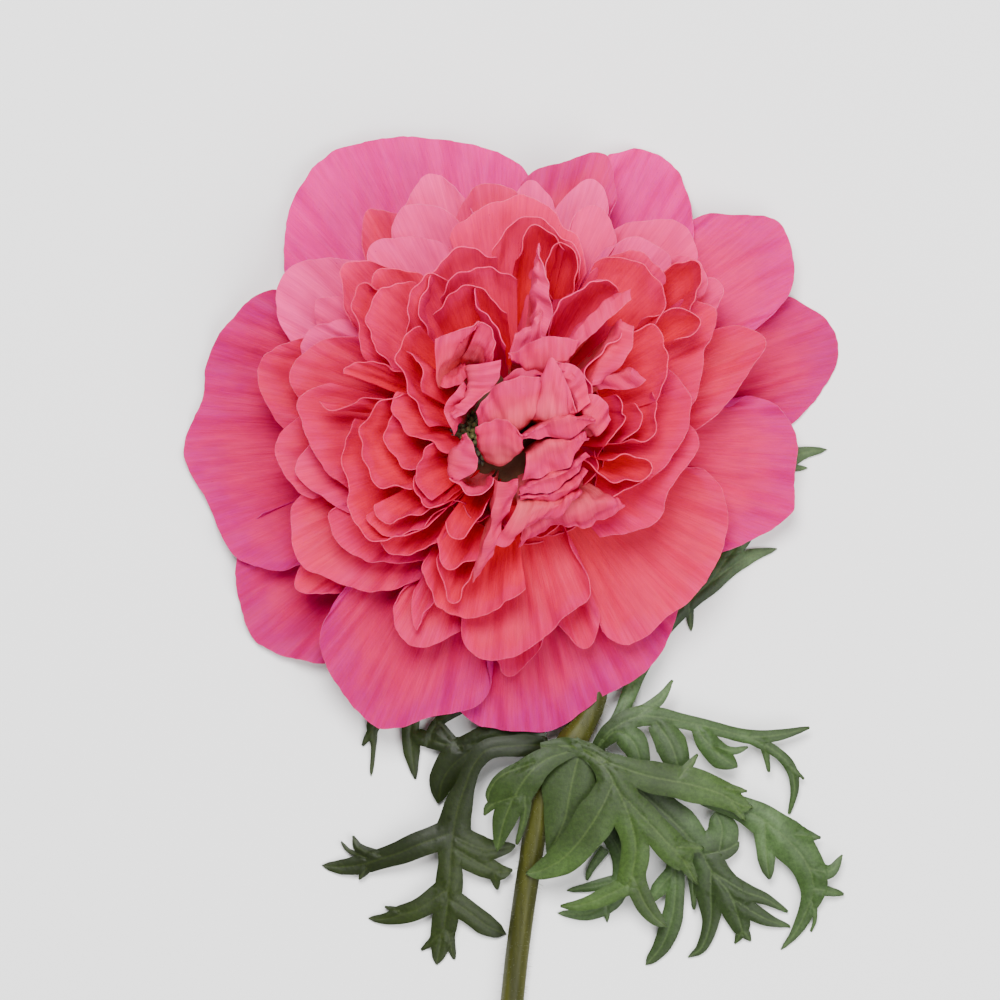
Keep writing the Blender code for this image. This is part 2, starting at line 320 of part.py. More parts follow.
RIGHT_OUTER = [
    [(12.8, -47.7, 5.0, 0.9), (19.5, -51, 5.6, 1.2), (28.5, -54, 5.2, 1.4), (36, -56.8, 4.8, 2.0),
     (41.3, -60.5, 4.6, 3.0), (44.7, -64.5, 3.8, 2.6), (45.8, -68.3, 2.6, 2.0), (44.7, -72, 1.6, 1.2),
     (43, -75.3, 0.9, 0.7), (41, -77.7, 0.5, 0.25)],
    [(43, -60.2, 4.4, 1.6), (46.9, -60.7, 3.4, 0.3)],
    [(45.4, -65.4, 3.6, 1.4), (48.3, -65.8, 2.8, 1.0), (50.2, -63.3, 2.6, 0.25)],
    [(46, -68.4, 2.6, 1.0), (50.4, -69.3, 1.4, 0.45)],
    [(45.6, -70.4, 2.0, 0.7), (46.1, -73, 1.2, 0.35), (45.5, -75, 0.6, 0.2)],
    [(38.4, -58, 4.8, 1.8), (38.7, -63.8, 3.6, 1.4), (39.2, -67, 2.8, 0.5)],
]
RIGHT_LOWER = [
    [(12.6, -48.4, 4.6, 0.9), (16, -51, 4.2, 1.4), (20.4, -54.4, 3.8, 2.4), (25, -58.6, 3.6, 3.0),
     (28.6, -62.6, 3.4, 2.4), (30.5, -66, 3.2, 2.6), (33, -69, 2.8, 2.4), (34.5, -72.8, 1.9, 1.9),
     (35.2, -75.4, 1.1, 1.2)],
    [(35, -75, 1.3, 0.8), (34, -76.8, 0.6, 0.3)],
    [(35.4, -75, 1.3, 0.8), (36.4, -76.4, 0.7, 0.35)],
    [(30.3, -65.4, 3.2, 2.4), (30.3, -69, 2.6, 2.1), (30.3, -73.5, 1.6, 1.3), (29, -77.3, 0.9, 0.8),
     (26.9, -78.9, 0.5, 0.25)],
    [(33.6, -70, 2.6, 1.8), (38.6, -73, 1.6, 1.0), (42.3, -74.2, 0.8, 0.3)],
    [(30.8, -66, 3.2, 1.6), (35.3, -68.8, 2.6, 1.3), (38.6, -70, 2.0, 0.9), (42, -72, 1.0, 0.25)],
    [(29.4, -63.2, 3.4, 1.2), (32.4, -62.6, 3.2, 1.4), (34.6, -61.4, 3.0, 0.8)],
    [(31.6, -62.6, 3.2, 2.4), (32, -59.4, 3.4, 2.4), (31, -56.8, 3.6, 1.2)],
    [(26.6, -61, 3.5, 1.6), (25, -65, 3.2, 1.4), (25, -68.3, 2.8, 1.3), (24.5, -72.8, 1.9, 1.6),
     (23, -77, 1.0, 1.4), (20.6, -80, 0.5, 0.5)],
    [(25, -65.6, 3.1, 1.2), (22.4, -68.6, 2.6, 1.2), (21.2, -70.6, 2.2, 0.4)],
    [(27.6, -66.6, 3.1, 0.8), (27.8, -71.6, 2.0, 0.3)],
]
RIGHT_BACK = [
    [(12.7, -47.8, 4.3, 0.9), (11.9, -50.6, 3.3, 2.0), (10.0, -54.6, 2.7, 3.4), (8.9, -58.5, 2.2, 2.6),
     (7.4, -62.3, 1.6, 0.7)],
    [(11.8, -50.8, 3.4, 1.2), (14, -58, 2.2, 1.4), (17, -64, 1.6, 1.5), (15.8, -69.6, 1.0, 1.5),
     (12, -72.2, 0.7, 1.1), (7.2, -72.2, 0.5, 0.3)],
    [(14.6, -70.8, 0.9, 0.7), (14.7, -73.6, 0.6, 0.25)],
    [(15.6, -67.4, 1.2, 1.0), (12, -68.2, 0.9, 0.7), (8.6, -68.8, 0.6, 0.3)],
    [(14.4, -62.4, 1.7, 0.8), (12.3, -65.4, 1.3, 0.5), (11.6, -67.2, 1.0, 0.4)],
]
UNDER_BLOOM = [
    [(13.2, -47.0, 4.8, 0.9), (16.4, -42.5, 3.6, 1.0), (19.8, -35, 1.9, 1.2), (24, -28, 1.0, 1.4),
     (30, -22.5, 0.8, 1.6), (35.5, -18.6, 0.6, 1.2), (40.4, -17.1, 0.5, 0.3)],
    [(30.4, -22, 0.8, 1.2), (36, -14, 0.7, 1.4), (40, -6.4, 0.6, 1.2), (43.4, -3, 0.6, 1.2),
     (47.9, -2.1, 0.5, 0.3)],
    [(41, -5, 0.6, 0.9), (45, -4.9, 0.5, 0.3)],
    [(27, -25, 0.9, 0.9), (27.4, -29.6, 0.5, 0.3)],
]

# Each bract has a swollen base at the collar, given as its centre and its three radii.
BRACTS = {
    "bract_left": ((4.95, -46.6, 6.2), (0.95, 1.5, 0.9), [LEFT_BLADE, LEFT_BACK]),
    "bract_front": ((10.4, -47.0, 8.8), (1.5, 1.1, 0.6), [FRONT_BLADE, FRONT_SMALL, FRONT_BACK]),
    "bract_right": ((12.9, -48.0, 5.0), (1.15, 1.4, 1.2),
                    [RIGHT_UPPER, RIGHT_OUTER, RIGHT_LOWER, RIGHT_BACK, UNDER_BLOOM]),
}


def clear_scene():
    """Remove whatever the new file holds."""
    for thing in list(bpy.data.objects):
        bpy.data.objects.remove(thing, do_unlink=True)


def make_material(name, colour, roughness):
    material = bpy.data.materials.new(name)
    material.use_nodes = True
    shader = material.node_tree.nodes["Principled BSDF"]
    shader.inputs["Base Color"].default_value = (*colour, 1.0)
    shader.inputs["Roughness"].default_value = roughness
    shader.inputs["Metallic"].default_value = 0.0
    return material


def add_mesh(name, points, faces, collection=None):
    """Make an object from points in millimetres."""
    mesh = bpy.data.meshes.new(name)
    mesh.from_pydata([tuple(value * MM for value in point) for point in points], [], faces)
    mesh.update()
    thing = bpy.data.objects.new(name, mesh)
    (collection or bpy.context.scene.collection).objects.link(thing)
    return thing


def smooth_curve(points, count):
    """Return count + 1 points, evenly spaced along a curve through the given points."""
    points = [Vector(point) for point in points]
    first = points[0] * 2 - points[1]
    last = points[-1] * 2 - points[-2]
    chain = [first, *points, last]
    fine = []
    for before, start, end, after in zip(chain, chain[1:], chain[2:], chain[3:]):
        for step in range(CURVE_STEPS):
            t = step / CURVE_STEPS
            fine.append(0.5 * (start * 2 + (end - before) * t
                               + (before * 2 - start * 5 + end * 4 - after) * t * t
                               + (start * 3 - before - end * 3 + after) * t ** 3))
    fine.append(points[-1])
    lengths = [0.0]
    for one, two in zip(fine, fine[1:]):
        lengths.append(lengths[-1] + (two - one).length)
    result = []
    place = 0
    for step in range(count + 1):
        target = lengths[-1] * step / count
        while place < len(fine) - 2 and lengths[place + 1] < target:
            place += 1
        span = lengths[place + 1] - lengths[place]
        result.append(fine[place].lerp(fine[place + 1], (target - lengths[place]) / span))
    return result


def rising_grid(record):
    """Return the rows of a petal's middle surface, from its root in the core to its rim."""
    heights, lean, rim = record
    across = max(2, min(MOST_FACETS, round(line_length(rim) / FACET_LENGTH)))
    along = 3 if lean > LOW_LEAN or across > WIDE_FACETS else 2
    edge = smooth_curve([(x, y, 0) for x, y in rim], across)
    start, middle, end = heights
    for step, point in enumerate(edge):
        u = step / across
        point.z = start * (1 - u) * (1 - 2 * u) + middle * 4 * u * (1 - u) + end * u * (2 * u - 1)
    centre = sum(edge, Vector()) / len(edge)
    reach = math.hypot(centre.x, centre.y)
    inward = min(ROOT_RADIUS / reach, ROOT_SHARE)
    chord = Vector((edge[-1].x - edge[0].x, edge[-1].y - edge[0].y, 0))
    half_width = min(ROOT_HALF_WIDTH, ROOT_WIDTH_SHARE * chord.length + ROOT_WIDTH_LEAST)
    half_root = chord.normalized() * half_width
    drop = ROOT_DROP * min(reach / ROOT_DROP_REACH, 1)
    root = Vector((centre.x * inward, centre.y * inward, ROOT_Z - drop))
    angle = math.radians(lean)
    flatness = 1 - max(lean, 0) / 90
    columns = []
    for step, tip in enumerate(edge):
        foot = root + half_root * (2 * step / across - 1)
        span = tip - foot
        level = math.hypot(span.x, span.y)
        outward = Vector((span.x, span.y, 0)) / level
        steep = min(max(span.z / level, 0), 1)
        first = foot + outward * (level * FIRST_REACH * (1 - steep * flatness))
        first += UP * (span.z * (FIRST_RISE + STEEP_RISE * steep) * flatness)
        arrival = outward * math.cos(angle) + UP * math.sin(angle)
        second = tip - arrival * (LAST_PULL * span.length)
        column = []
        for row in range(along + 1):
            v = row / along
            column.append(foot * (1 - v) ** 3 + first * 3 * v * (1 - v) ** 2
                          + second * 3 * v * v * (1 - v) + tip * v ** 3)
        columns.append(column)
    return list(zip(*columns))


def folded_grid(record):
    """Return the rows of a folded petal, whose visible face lies between a fold and a rim."""
    fold_points, rim_points = record
    across = max(2, round(line_length(rim_points) / FOLDED_FACET_LENGTH))
    fold = smooth_curve(fold_points, across)
    rim = smooth_curve(rim_points, across)
    middle = []
    for step, (low, high) in enumerate(zip(fold, rim)):
        before = max(step - 1, 0)
        after = min(step + 1, across)
        along_fold = fold[after] + rim[after] - fold[before] - rim[before]
        face = high - low
        normal = along_fold.cross(face).normalized()
        if normal.z < 0:
            normal.negate()
        middle.append((low + high) / 2 + normal * (BULGE * face.length))
    knee = [Vector((point.x * KNEE_SHARE, point.y * KNEE_SHARE, KNEE_Z)) for point in fold]
    root = [Vector((point.x * ROOT_SHARE, point.y * ROOT_SHARE, ROOT_Z)) for point in fold]
    return [root, knee, fold, middle, rim]


def line_length(points):
    return sum(math.dist(one, two) for one, two in zip(points, points[1:]))


def add_petal(name, rows, collection):
    """Make one petal as a thin solid, split into triangles alike on both faces."""
    points = [point for row in rows for point in row]
    wide = len(rows[0])
    faces = []
    for row in range(len(rows) - 1):
        for step in range(wide - 1):
            a = row * wide + step
            b = a + wide
            faces.append((a, a + 1, b + 1))
            faces.append((a, b + 1, b))
    petal = add_mesh(name, points, faces, collection)
    wall = petal.modifiers.new("wall", "SOLIDIFY")
    wall.thickness = PETAL_THICKNESS * MM
    wall.offset = 0.0
    return petal


def join_solids(base, collection, solver):
    """Unite a solid with all in a collection, apply that, and remove the collection's objects."""
    union = base.modifiers.new("union", "BOOLEAN")
    union.operation = "UNION"
    union.operand_type = "COLLECTION"
    union.collection = collection
    union.solver = solver
    bpy.context.view_layer.update()
    graph = bpy.context.evaluated_depsgraph_get()
    united = bpy.data.meshes.new_from_object(base.evaluated_get(graph))
    base.modifiers.clear()
    base.data = united
    for thing in list(collection.objects):
        bpy.data.objects.remove(thing, do_unlink=True)
    bpy.data.collections.remove(collection)
    keep_largest_shell(base)


def drop_folds(shape):
    """Delete pairs of triangles that lie back to back on the same three points."""
    seen = {}
    folds = []
    for face in shape.faces:
        key = frozenset(face.verts)
        if key in seen:
            folds += [face, seen[key]]
        seen[key] = face
    bmesh.ops.delete(shape, geom=folds, context="FACES_ONLY")
    wires = [edge for edge in shape.edges if not edge.link_faces]
    bmesh.ops.delete(shape, geom=wires, context="EDGES")


def keep_largest_shell(thing):
    """Drop loose scraps, and fill hollows that the union sealed by dropping their walls."""
    shape = bmesh.new()
    shape.from_mesh(thing.data)
    bmesh.ops.triangulate(shape, faces=shape.faces)
    drop_folds(shape)
    left = set(shape.verts)
    shells = []
    while left:
        wave = [left.pop()]
        shell = list(wave)
        while wave:
            vert = wave.pop()
            for edge in vert.link_edges:
                other = edge.other_vert(vert)
                if other in left:
                    left.discard(other)
                    wave.append(other)
                    shell.append(other)
        shells.append(shell)
    shells.sort(key=len, reverse=True)
    scrap = [vert for shell in shells[1:] for vert in shell]
    bmesh.ops.delete(shape, geom=scrap, context="VERTS")
    shape.to_mesh(thing.data)
    shape.free()


def make_bloom(material):
    """Unite the petals with the core they grow from and the neck under it."""
    petals = bpy.data.collections.new("bloom petals")
    bpy.context.scene.collection.children.link(petals)
    grids = [rising_grid(record) for record in GUARD_TEPALS + OUTER_PETALS + RUFFLES]
    grids += [folded_grid(record) for record in FOLDED_PETALS]
    for number, rows in enumerate(grids):
        add_petal(f"petal_{number}", rows, petals)
    bpy.ops.mesh.primitive_cylinder_add(
        vertices=16, radius=NECK_RADIUS * MM, depth=(CORE_CENTRE_Z - NECK_BOTTOM_Z) * MM,
        location=(0, 0, (CORE_CENTRE_Z + NECK_BOTTOM_Z) / 2 * MM))
    neck = bpy.context.object
    for parent in list(neck.users_collection):
        parent.objects.unlink(neck)
    petals.objects.link(neck)
    bpy.ops.mesh.primitive_uv_sphere_add(
        segments=16, ring_count=10, radius=CORE_RADIUS * MM, location=(0, 0, CORE_CENTRE_Z * MM))
    bloom = bpy.context.object
    bloom.name = "bloom"
    bloom.scale.z = CORE_HEIGHT / (2 * CORE_RADIUS)
    bpy.ops.object.transform_apply(location=True, rotation=False, scale=True)
    # The exact solver leaves open edges on so many thin crossing petals, and this one doesn't.
    join_solids(bloom, petals, "MANIFOLD")
    bloom.data.materials.clear()
    bloom.data.materials.append(material)
    bloom.data.shade_smooth()
    return bloom


def make_stem(material):
    """Make the stem as a bevelled curve, upright where it meets the neck."""
    route = [Vector((0, 0, NECK_BOTTOM_Z - CLEARANCE)), *smooth_curve(STEM_ROUTE, STEM_POINTS)]
    collar = Vector(STEM_ROUTE[COLLAR_STOP])
    curve = bpy.data.curves.new("stem", "CURVE")
    curve.dimensions = "3D"
    curve.bevel_depth = STEM_RADIUS * MM
    curve.bevel_resolution = 2
    curve.use_fill_caps = True
    spline = curve.splines.new("POLY")
    spline.points.add(len(route) - 1)
    for place, point in zip(spline.points, route):
        place.co = (*(point * MM), 1.0)
        near = math.exp(-((point - collar).length / COLLAR_REACH) ** 2)
        place.radius = 1 + (COLLAR_RADIUS / STEM_RADIUS - 1) * near
    stem = bpy.data.objects.new("stem", curve)
    bpy.context.scene.collection.objects.link(stem)
    curve.materials.append(material)
    return stem


def lobe_outline(lobe):
    """Return the outline of one lobe, seen from above, and the rib points it was drawn round."""
    count = max(2, 2 * (len(lobe) - 1))
    rib = smooth_curve([point[:3] for point in lobe], count)
    widths = []
    spans = len(lobe) - 1
    total = [0.0]
    for one, two in zip(lobe, lobe[1:]):
        total.append(total[-1] + math.dist(one[:3], two[:3]))
    for step in range(count + 1):
        target = total[-1] * step / count
        span = 0
        while span < spans - 1 and total[span + 1] < target:
            span += 1
        t = (target - total[span]) / (total[span + 1] - total[span])
        widths.append(lobe[span][3] * (1 - t) + lobe[span + 1][3] * t)
    left = []
    right = []
    for step, point in enumerate(rib):
        ahead = rib[min(step + 1, count)] - rib[max(step - 1, 0)]
        side = Vector((-ahead.y, ahead.x)).normalized() * widths[step]
        left.append(Vector((point.x, point.y)) + side)
        right.append(Vector((point.x, point.y)) - side)
    return left + right[::-1], rib


def sheet_height(place, ribs):
    """Return the height of a leaf sheet at a place, from the rib points round it."""
    total = 0.0
    height = 0.0
    for point in ribs:
        gap = (point.x - place.x) ** 2 + (point.y - place.y) ** 2 + RIB_SPREAD
        weight = 1 / gap ** 2
        total += weight
        height += weight * point.z
    return height / total


def add_leaf_sheet(name, lobes, collection):
    """Unite the lobes' outlines flat, give the sheet its heights, and make it a thin solid."""
    flat = []
    outlines = []
    ribs = []
    for lobe in lobes:
        outline, rib = lobe_outline(lobe)
        outlines.append(list(range(len(flat), len(flat) + len(outline))))
        flat.extend(outline)
        ribs.extend(rib)
    places, _, faces, _, _, _ = delaunay_2d_cdt(flat, [], outlines, 1, OUTLINE_MERGE)
    count = len(places)
    half = LEAF_THICKNESS / 2
    heights = [max(sheet_height(place, ribs), half) for place in places]
    points = [(place.x, place.y, height + half) for place, height in zip(places, heights)]
    points += [(place.x, place.y, height - half) for place, height in zip(places, heights)]
    rim = {}
    for face in faces:
        for one, two in zip(face, face[1:] + face[:1]):
            rim[(one, two)] = (two, one) not in rim
            if (two, one) in rim:
                rim[(two, one)] = False
    solid = list(faces)
    solid += [tuple(index + count for index in reversed(face)) for face in faces]
    for (one, two), open_edge in rim.items():
        if open_edge:
            solid.append((two, one, one + count))
            solid.append((two, one + count, two + count))
    sheet = add_mesh(name, points, solid, collection)
    shape = bmesh.new()
    shape.from_mesh(sheet.data)
    loose = [vert for vert in shape.verts if not vert.link_faces]
    bmesh.ops.delete(shape, geom=loose, context="VERTS")
    shape.to_mesh(sheet.data)
    shape.free()
    return sheet


def make_bract(name, centre, radii, sheets, material):
    """Unite a bract's leaf sheets with its swollen base."""
    blades = bpy.data.collections.new(name + " sheets")
    bpy.context.scene.collection.children.link(blades)
    for number, lobes in enumerate(sheets):
        add_leaf_sheet(f"{name}_{number}", lobes, blades)
    bpy.ops.mesh.primitive_uv_sphere_add(
        segments=10, ring_count=6, radius=MM, location=[value * MM for value in centre])
    bract = bpy.context.object
    bract.name = name
    bract.scale = radii
    bpy.ops.object.transform_apply(location=True, rotation=False, scale=True)
    join_solids(bract, blades, "EXACT")
    bract.data.materials.clear()
    bract.data.materials.append(material)
    return bract


def main():
    clear_scene()
    make_bloom(make_material("petal", PETAL_COLOUR, 0.55))
    make_stem(make_material("stem", STEM_COLOUR, 0.6))
    leaf = make_material("leaf", LEAF_COLOUR, 0.6)
    for name, (centre, radii, sheets) in BRACTS.items():
        make_bract(name, centre, radii, sheets, leaf)
    for piece in bpy.context.scene.objects:
        piece.location = [value * MM for value in BLOOM_PLACE]


main()
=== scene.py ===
# %% [markdown]
# # A double anemone, cut and laid down
# This flower lies on a table with its bloom facing up: a pile of pink petals round a folded heart,
# a hairy stem, and three deeply cut leafy bracts round a collar below the bloom. Each step says
# what a piece is on the real plant, how it could be made, and why it is made the way it is here.

# %% Load the frame
import math

import bmesh
import bpy
import numpy as np
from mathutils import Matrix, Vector
from mathutils.geometry import delaunay_2d_cdt


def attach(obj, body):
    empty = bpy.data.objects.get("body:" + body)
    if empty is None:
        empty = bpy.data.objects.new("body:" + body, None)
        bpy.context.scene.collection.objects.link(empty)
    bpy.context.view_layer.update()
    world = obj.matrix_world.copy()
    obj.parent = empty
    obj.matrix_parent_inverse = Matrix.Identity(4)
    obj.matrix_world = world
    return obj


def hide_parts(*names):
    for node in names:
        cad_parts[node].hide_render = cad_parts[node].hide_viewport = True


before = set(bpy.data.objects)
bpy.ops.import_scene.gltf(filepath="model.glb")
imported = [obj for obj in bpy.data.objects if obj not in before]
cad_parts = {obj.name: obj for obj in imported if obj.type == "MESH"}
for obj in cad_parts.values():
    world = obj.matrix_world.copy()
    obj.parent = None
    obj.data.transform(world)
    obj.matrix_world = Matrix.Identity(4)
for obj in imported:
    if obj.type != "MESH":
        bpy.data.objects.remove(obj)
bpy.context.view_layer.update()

# %% [markdown]
# ## Where things are
# All the shapes are drawn in millimetres from the bloom's centre, as the flower is seen from
# above: +X is to the right and -Y runs down the stem. `BLOOM_PLACE` then moves them to where the
# solid flower lies. Every mesh holds its final place, so all the objects sit at the origin.

# %% Lengths and helpers
MM = 0.001
BLOOM_PLACE = np.array([-0.8, 72.5, -0.08])
TWO_PI = 2 * math.pi
SMALLEST = 1e-9
SHARP_ANGLE = math.radians(50)
DETAIL = 1.0


def in_metres(points):
    return (np.asarray(points, dtype=float) + BLOOM_PLACE) * MM


def read_points(piece):
    flat = np.empty(len(piece.data.vertices) * 3)
    piece.data.vertices.foreach_get("co", flat)
    return flat.reshape(-1, 3)


def write_points(piece, points):
    piece.data.vertices.foreach_set("co", np.ascontiguousarray(points, dtype=float).ravel())
    piece.data.update()


def choose_only(*pieces):
    bpy.ops.object.select_all(action="DESELECT")
    for piece in pieces:
        piece.select_set(True)
    bpy.context.view_layer.objects.active = pieces[0]


def name_piece(name):
    """Name the object that an operator has just added."""
    piece = bpy.context.object
    piece.name = name
    piece.data.name = name
    return piece


def join_pieces(name, pieces):
    """Join pieces into one and name it."""
    choose_only(*pieces)
    bpy.ops.object.join()
    return name_piece(name)


def add_mesh(name, points, faces):
    """Add a piece made of points, in millimetres, and of faces between them."""
    mesh = bpy.data.meshes.new(name)
    mesh.from_pydata(in_metres(points), [], faces)
    piece = bpy.data.objects.new(name, mesh)
    bpy.context.collection.objects.link(piece)
    choose_only(piece)
    return piece


def add_wall(piece, thickness):
    """Give a sheet an even thickness, half of it on each side."""
    bpy.ops.object.modifier_add(type="SOLIDIFY")
    wall = piece.modifiers[-1]
    wall.thickness = thickness * MM
    wall.offset = 0.0
    bpy.ops.object.modifier_apply(modifier=wall.name)


def write_values(piece, name, values):
    """Keep one number for each point of a mesh, for a material to read."""
    layer = piece.data.attributes.get(name) or piece.data.attributes.new(name, "FLOAT", "POINT")
    layer.data.foreach_set("value", np.ascontiguousarray(values, dtype=float))


def triangle_count(piece):
    return sum(len(face.vertices) - 2 for face in piece.data.polygons)


def unit(vectors):
    """Return vectors of length one that point the same way."""
    size = np.linalg.norm(vectors, axis=-1, keepdims=True)
    return vectors / np.maximum(size, SMALLEST)


def smooth_curve(points, steps=12):
    """Return many points on a curve that runs through the given ones."""
    points = np.asarray(points, dtype=float)
    chain = np.vstack([2 * points[0] - points[1], points, 2 * points[-1] - points[-2]])
    t = np.linspace(0, 1, steps, endpoint=False)[:, None]
    parts = []
    for before, start, end, after in zip(chain, chain[1:], chain[2:], chain[3:]):
        parts.append(0.5 * (2 * start + (end - before) * t
                            + (2 * before - 5 * start + 4 * end - after) * t ** 2
                            + (3 * start - before - 3 * end + after) * t ** 3))
    return np.vstack(parts + [points[-1:]])


def along_curve(curve, places):
    """Return the points at the given shares, 0 to 1, of a curve's length."""
    steps = np.linalg.norm(np.diff(curve, axis=0), axis=1)
    lengths = np.concatenate([[0], np.cumsum(steps)])
    return np.stack([np.interp(np.asarray(places) * lengths[-1], lengths, curve[:, axis])
                     for axis in range(curve.shape[1])], axis=-1)


print("helpers ready")

# %% [markdown]
# ## The camera
# The photograph looks straight into the bloom. The flower lies down here, so the camera hangs
# above it and looks straight down. A long lens from far away keeps the outlines nearly flat, as
# they are in a picture of a flower taken from a few steps away.

# %% Camera over the bloom
VIEW_WIDTH = 150.0
VIEW_CENTRE = (-1.5, -9.75)
VIEW_DISTANCE = 1500.0
VIEW_PLANE_Z = 12.0
SENSOR_WIDTH = 36.0
NEAREST, FARTHEST = 0.05, 20.0

bpy.ops.object.select_all(action="DESELECT")
eye = in_metres([*VIEW_CENTRE, VIEW_PLANE_Z + VIEW_DISTANCE])
bpy.ops.object.camera_add(location=eye, rotation=(0, 0, 0))
camera = name_piece("camera")
camera.data.sensor_width = SENSOR_WIDTH
camera.data.lens = SENSOR_WIDTH * VIEW_DISTANCE / VIEW_WIDTH
camera.data.clip_start = NEAREST
camera.data.clip_end = FARTHEST
bpy.context.scene.camera = camera
print("camera at", tuple(eye), "lens", camera.data.lens, "mm")

# %% [markdown]
# ## How a petal is made
# A petal is a thin blade that grows out of the middle of the bloom and ends in a wavy, finely
# ragged rim. It could be sculpted by hand, but there are over a hundred. Each one here starts as
# a flat grid. The grid's points are moved so that one side lies on the petal's root and the other
# on its rim, with a curve between them that stands up or lies down. Small waves that grow
# towards the rim come on top, and Solidify then gives the blade its thickness.

# %% The surface of one petal
# Where the roots sit. A petal that reaches further out starts lower down.
ROOT_Z = 22.8
ROOT_DROP = 7.2
ROOT_DROP_REACH = 40.0
ROOT_RADIUS = 4.5
ROOT_SHARE = 0.3
ROOT_HALF_WIDTH = 2.2
ROOT_CHORD_SHARE = 0.25
ROOT_EXTRA = 0.6

# The curve from root to rim: how far its two middle points lie from its ends.
FIRST_REACH = 0.33
FIRST_RISE = 0.33
STEEP_RISE = 0.42
LAST_PULL = 0.38

# The grid has one more line this close to each edge, and its outer corners are drawn in.
MARGIN = 0.3
CORNER = 0.05
CORNER_POWER = 8

# The folded petals rise from the root to a knee and then to their fold.
KNEE_SHARE = 0.8
KNEE_Z = 26.0
BULGE = 0.12
FOLD_REACH = 8.0
FOLD_SPACING = 0.7

# Waves across the blade, as (length, strength), crumples by length, and the ragged rim.
WAVES = ((11, 0.5), (5.5, 0.35), (3, 0.15))
WAVE_TURN = 0.35
WAVE_STRETCH = (0.8, 1.25)
CRUMPLES = (6.0, 3.2)
CRUMPLE_STRETCH = 1.3
CURL_START = 0.72
RAGS = ((0.8, 0.3), (2.4, 0.6), (7.0, 1.0))
RAGGED_ROWS = ((-1, 1.0), (-2, 0.9), (-3, 0.5), (-4, 0.2))
ROOT_MARGIN = 6


def grid_shares(count, length):
    """Return evenly spaced shares of a length, with one more line close to each end."""
    inner = np.linspace(0, 1, count - 1)
    step = min(MARGIN / length, 0.3 / count)
    return np.concatenate([[0, step], inner[1:-1], [1 - step, 1]])


def rising_blade(record, across, along):
    """Return a petal's points by row and column, and its shares across and along."""
    heights, lean, rim = record
    curve = smooth_curve([(x, y, 0) for x, y in rim])
    width = np.linalg.norm(np.diff(curve, axis=0), axis=1).sum()
    u = grid_shares(across, width)
    tip = along_curve(curve, u)
    start, middle, end = heights
    tip[:, 2] = start * (1 - u) * (1 - 2 * u) + middle * 4 * u * (1 - u) + end * u * (2 * u - 1)
    centre = tip.mean(axis=0)
    reach = math.hypot(centre[0], centre[1])
    inward = min(ROOT_RADIUS / reach, ROOT_SHARE)
    chord = (tip[-1] - tip[0]) * (1, 1, 0)
    chord_length = np.linalg.norm(chord)
    half_width = min(ROOT_HALF_WIDTH, ROOT_CHORD_SHARE * chord_length + ROOT_EXTRA)
    half_root = chord / chord_length * half_width
    drop = ROOT_DROP * min(reach / ROOT_DROP_REACH, 1)
    root = np.array([centre[0] * inward, centre[1] * inward, ROOT_Z - drop])
    foot = root + half_root * (2 * u - 1)[:, None]
    span = tip - foot
    level = np.linalg.norm(span[:, :2], axis=1, keepdims=True)
    outward = np.hstack([span[:, :2] / level, np.zeros_like(level)])
    rise = span[:, 2:]
    steep = np.clip(rise / level, 0, 1)
    upward = np.array([0, 0, 1.0])
    low = 1 - max(lean, 0) / 90
    first = foot + outward * level * FIRST_REACH * (1 - steep * low)
    first = first + upward * rise * (FIRST_RISE + STEEP_RISE * steep) * low
    length = np.linalg.norm(span, axis=1, keepdims=True)
    angle = math.radians(lean)
    second = tip - (outward * math.cos(angle) + upward * math.sin(angle)) * LAST_PULL * length
    v = grid_shares(along, length.mean())
    s = v[:, None] * (1 - CORNER * np.abs(2 * u - 1) ** CORNER_POWER)
    s = s[:, :, None]
    points = (foot * (1 - s) ** 3 + first * 3 * s * (1 - s) ** 2
              + second * 3 * s ** 2 * (1 - s) + tip * s ** 3)
    return points, u, v, width, length.mean()


def folded_blade(record, across, along):
    """Return the same for a folded petal, whose visible face lies between a fold and a rim."""
    fold_points, rim_points = record
    rim = smooth_curve(rim_points)
    width = np.linalg.norm(np.diff(rim, axis=0), axis=1).sum()
    u = grid_shares(across, width)
    rim = along_curve(rim, u)
    fold = along_curve(smooth_curve(fold_points), u)
    knee = fold * (KNEE_SHARE, KNEE_SHARE, 0) + (0, 0, KNEE_Z)
    root = fold * (ROOT_SHARE, ROOT_SHARE, 0) + (0, 0, ROOT_Z)
    face = rim - fold
    normal = unit(np.cross(np.gradient(fold + rim, axis=0), face))
    normal *= np.sign(normal[:, 2:]) + (normal[:, 2:] == 0)
    middle = fold + face / 2 + normal * BULGE * np.linalg.norm(face, axis=1, keepdims=True)
    columns = [smooth_curve(path) for path in np.stack([root, knee, fold, middle, rim], axis=1)]
    length = np.linalg.norm(rim - fold, axis=1).mean() + FOLD_REACH
    v = grid_shares(along, length)
    place = v ** FOLD_SPACING
    points = np.stack([along_curve(column, place) for column in columns], axis=1)
    return points, u, v, width, length


def surface_normals(points):
    return unit(np.cross(np.gradient(points, axis=1), np.gradient(points, axis=0)))


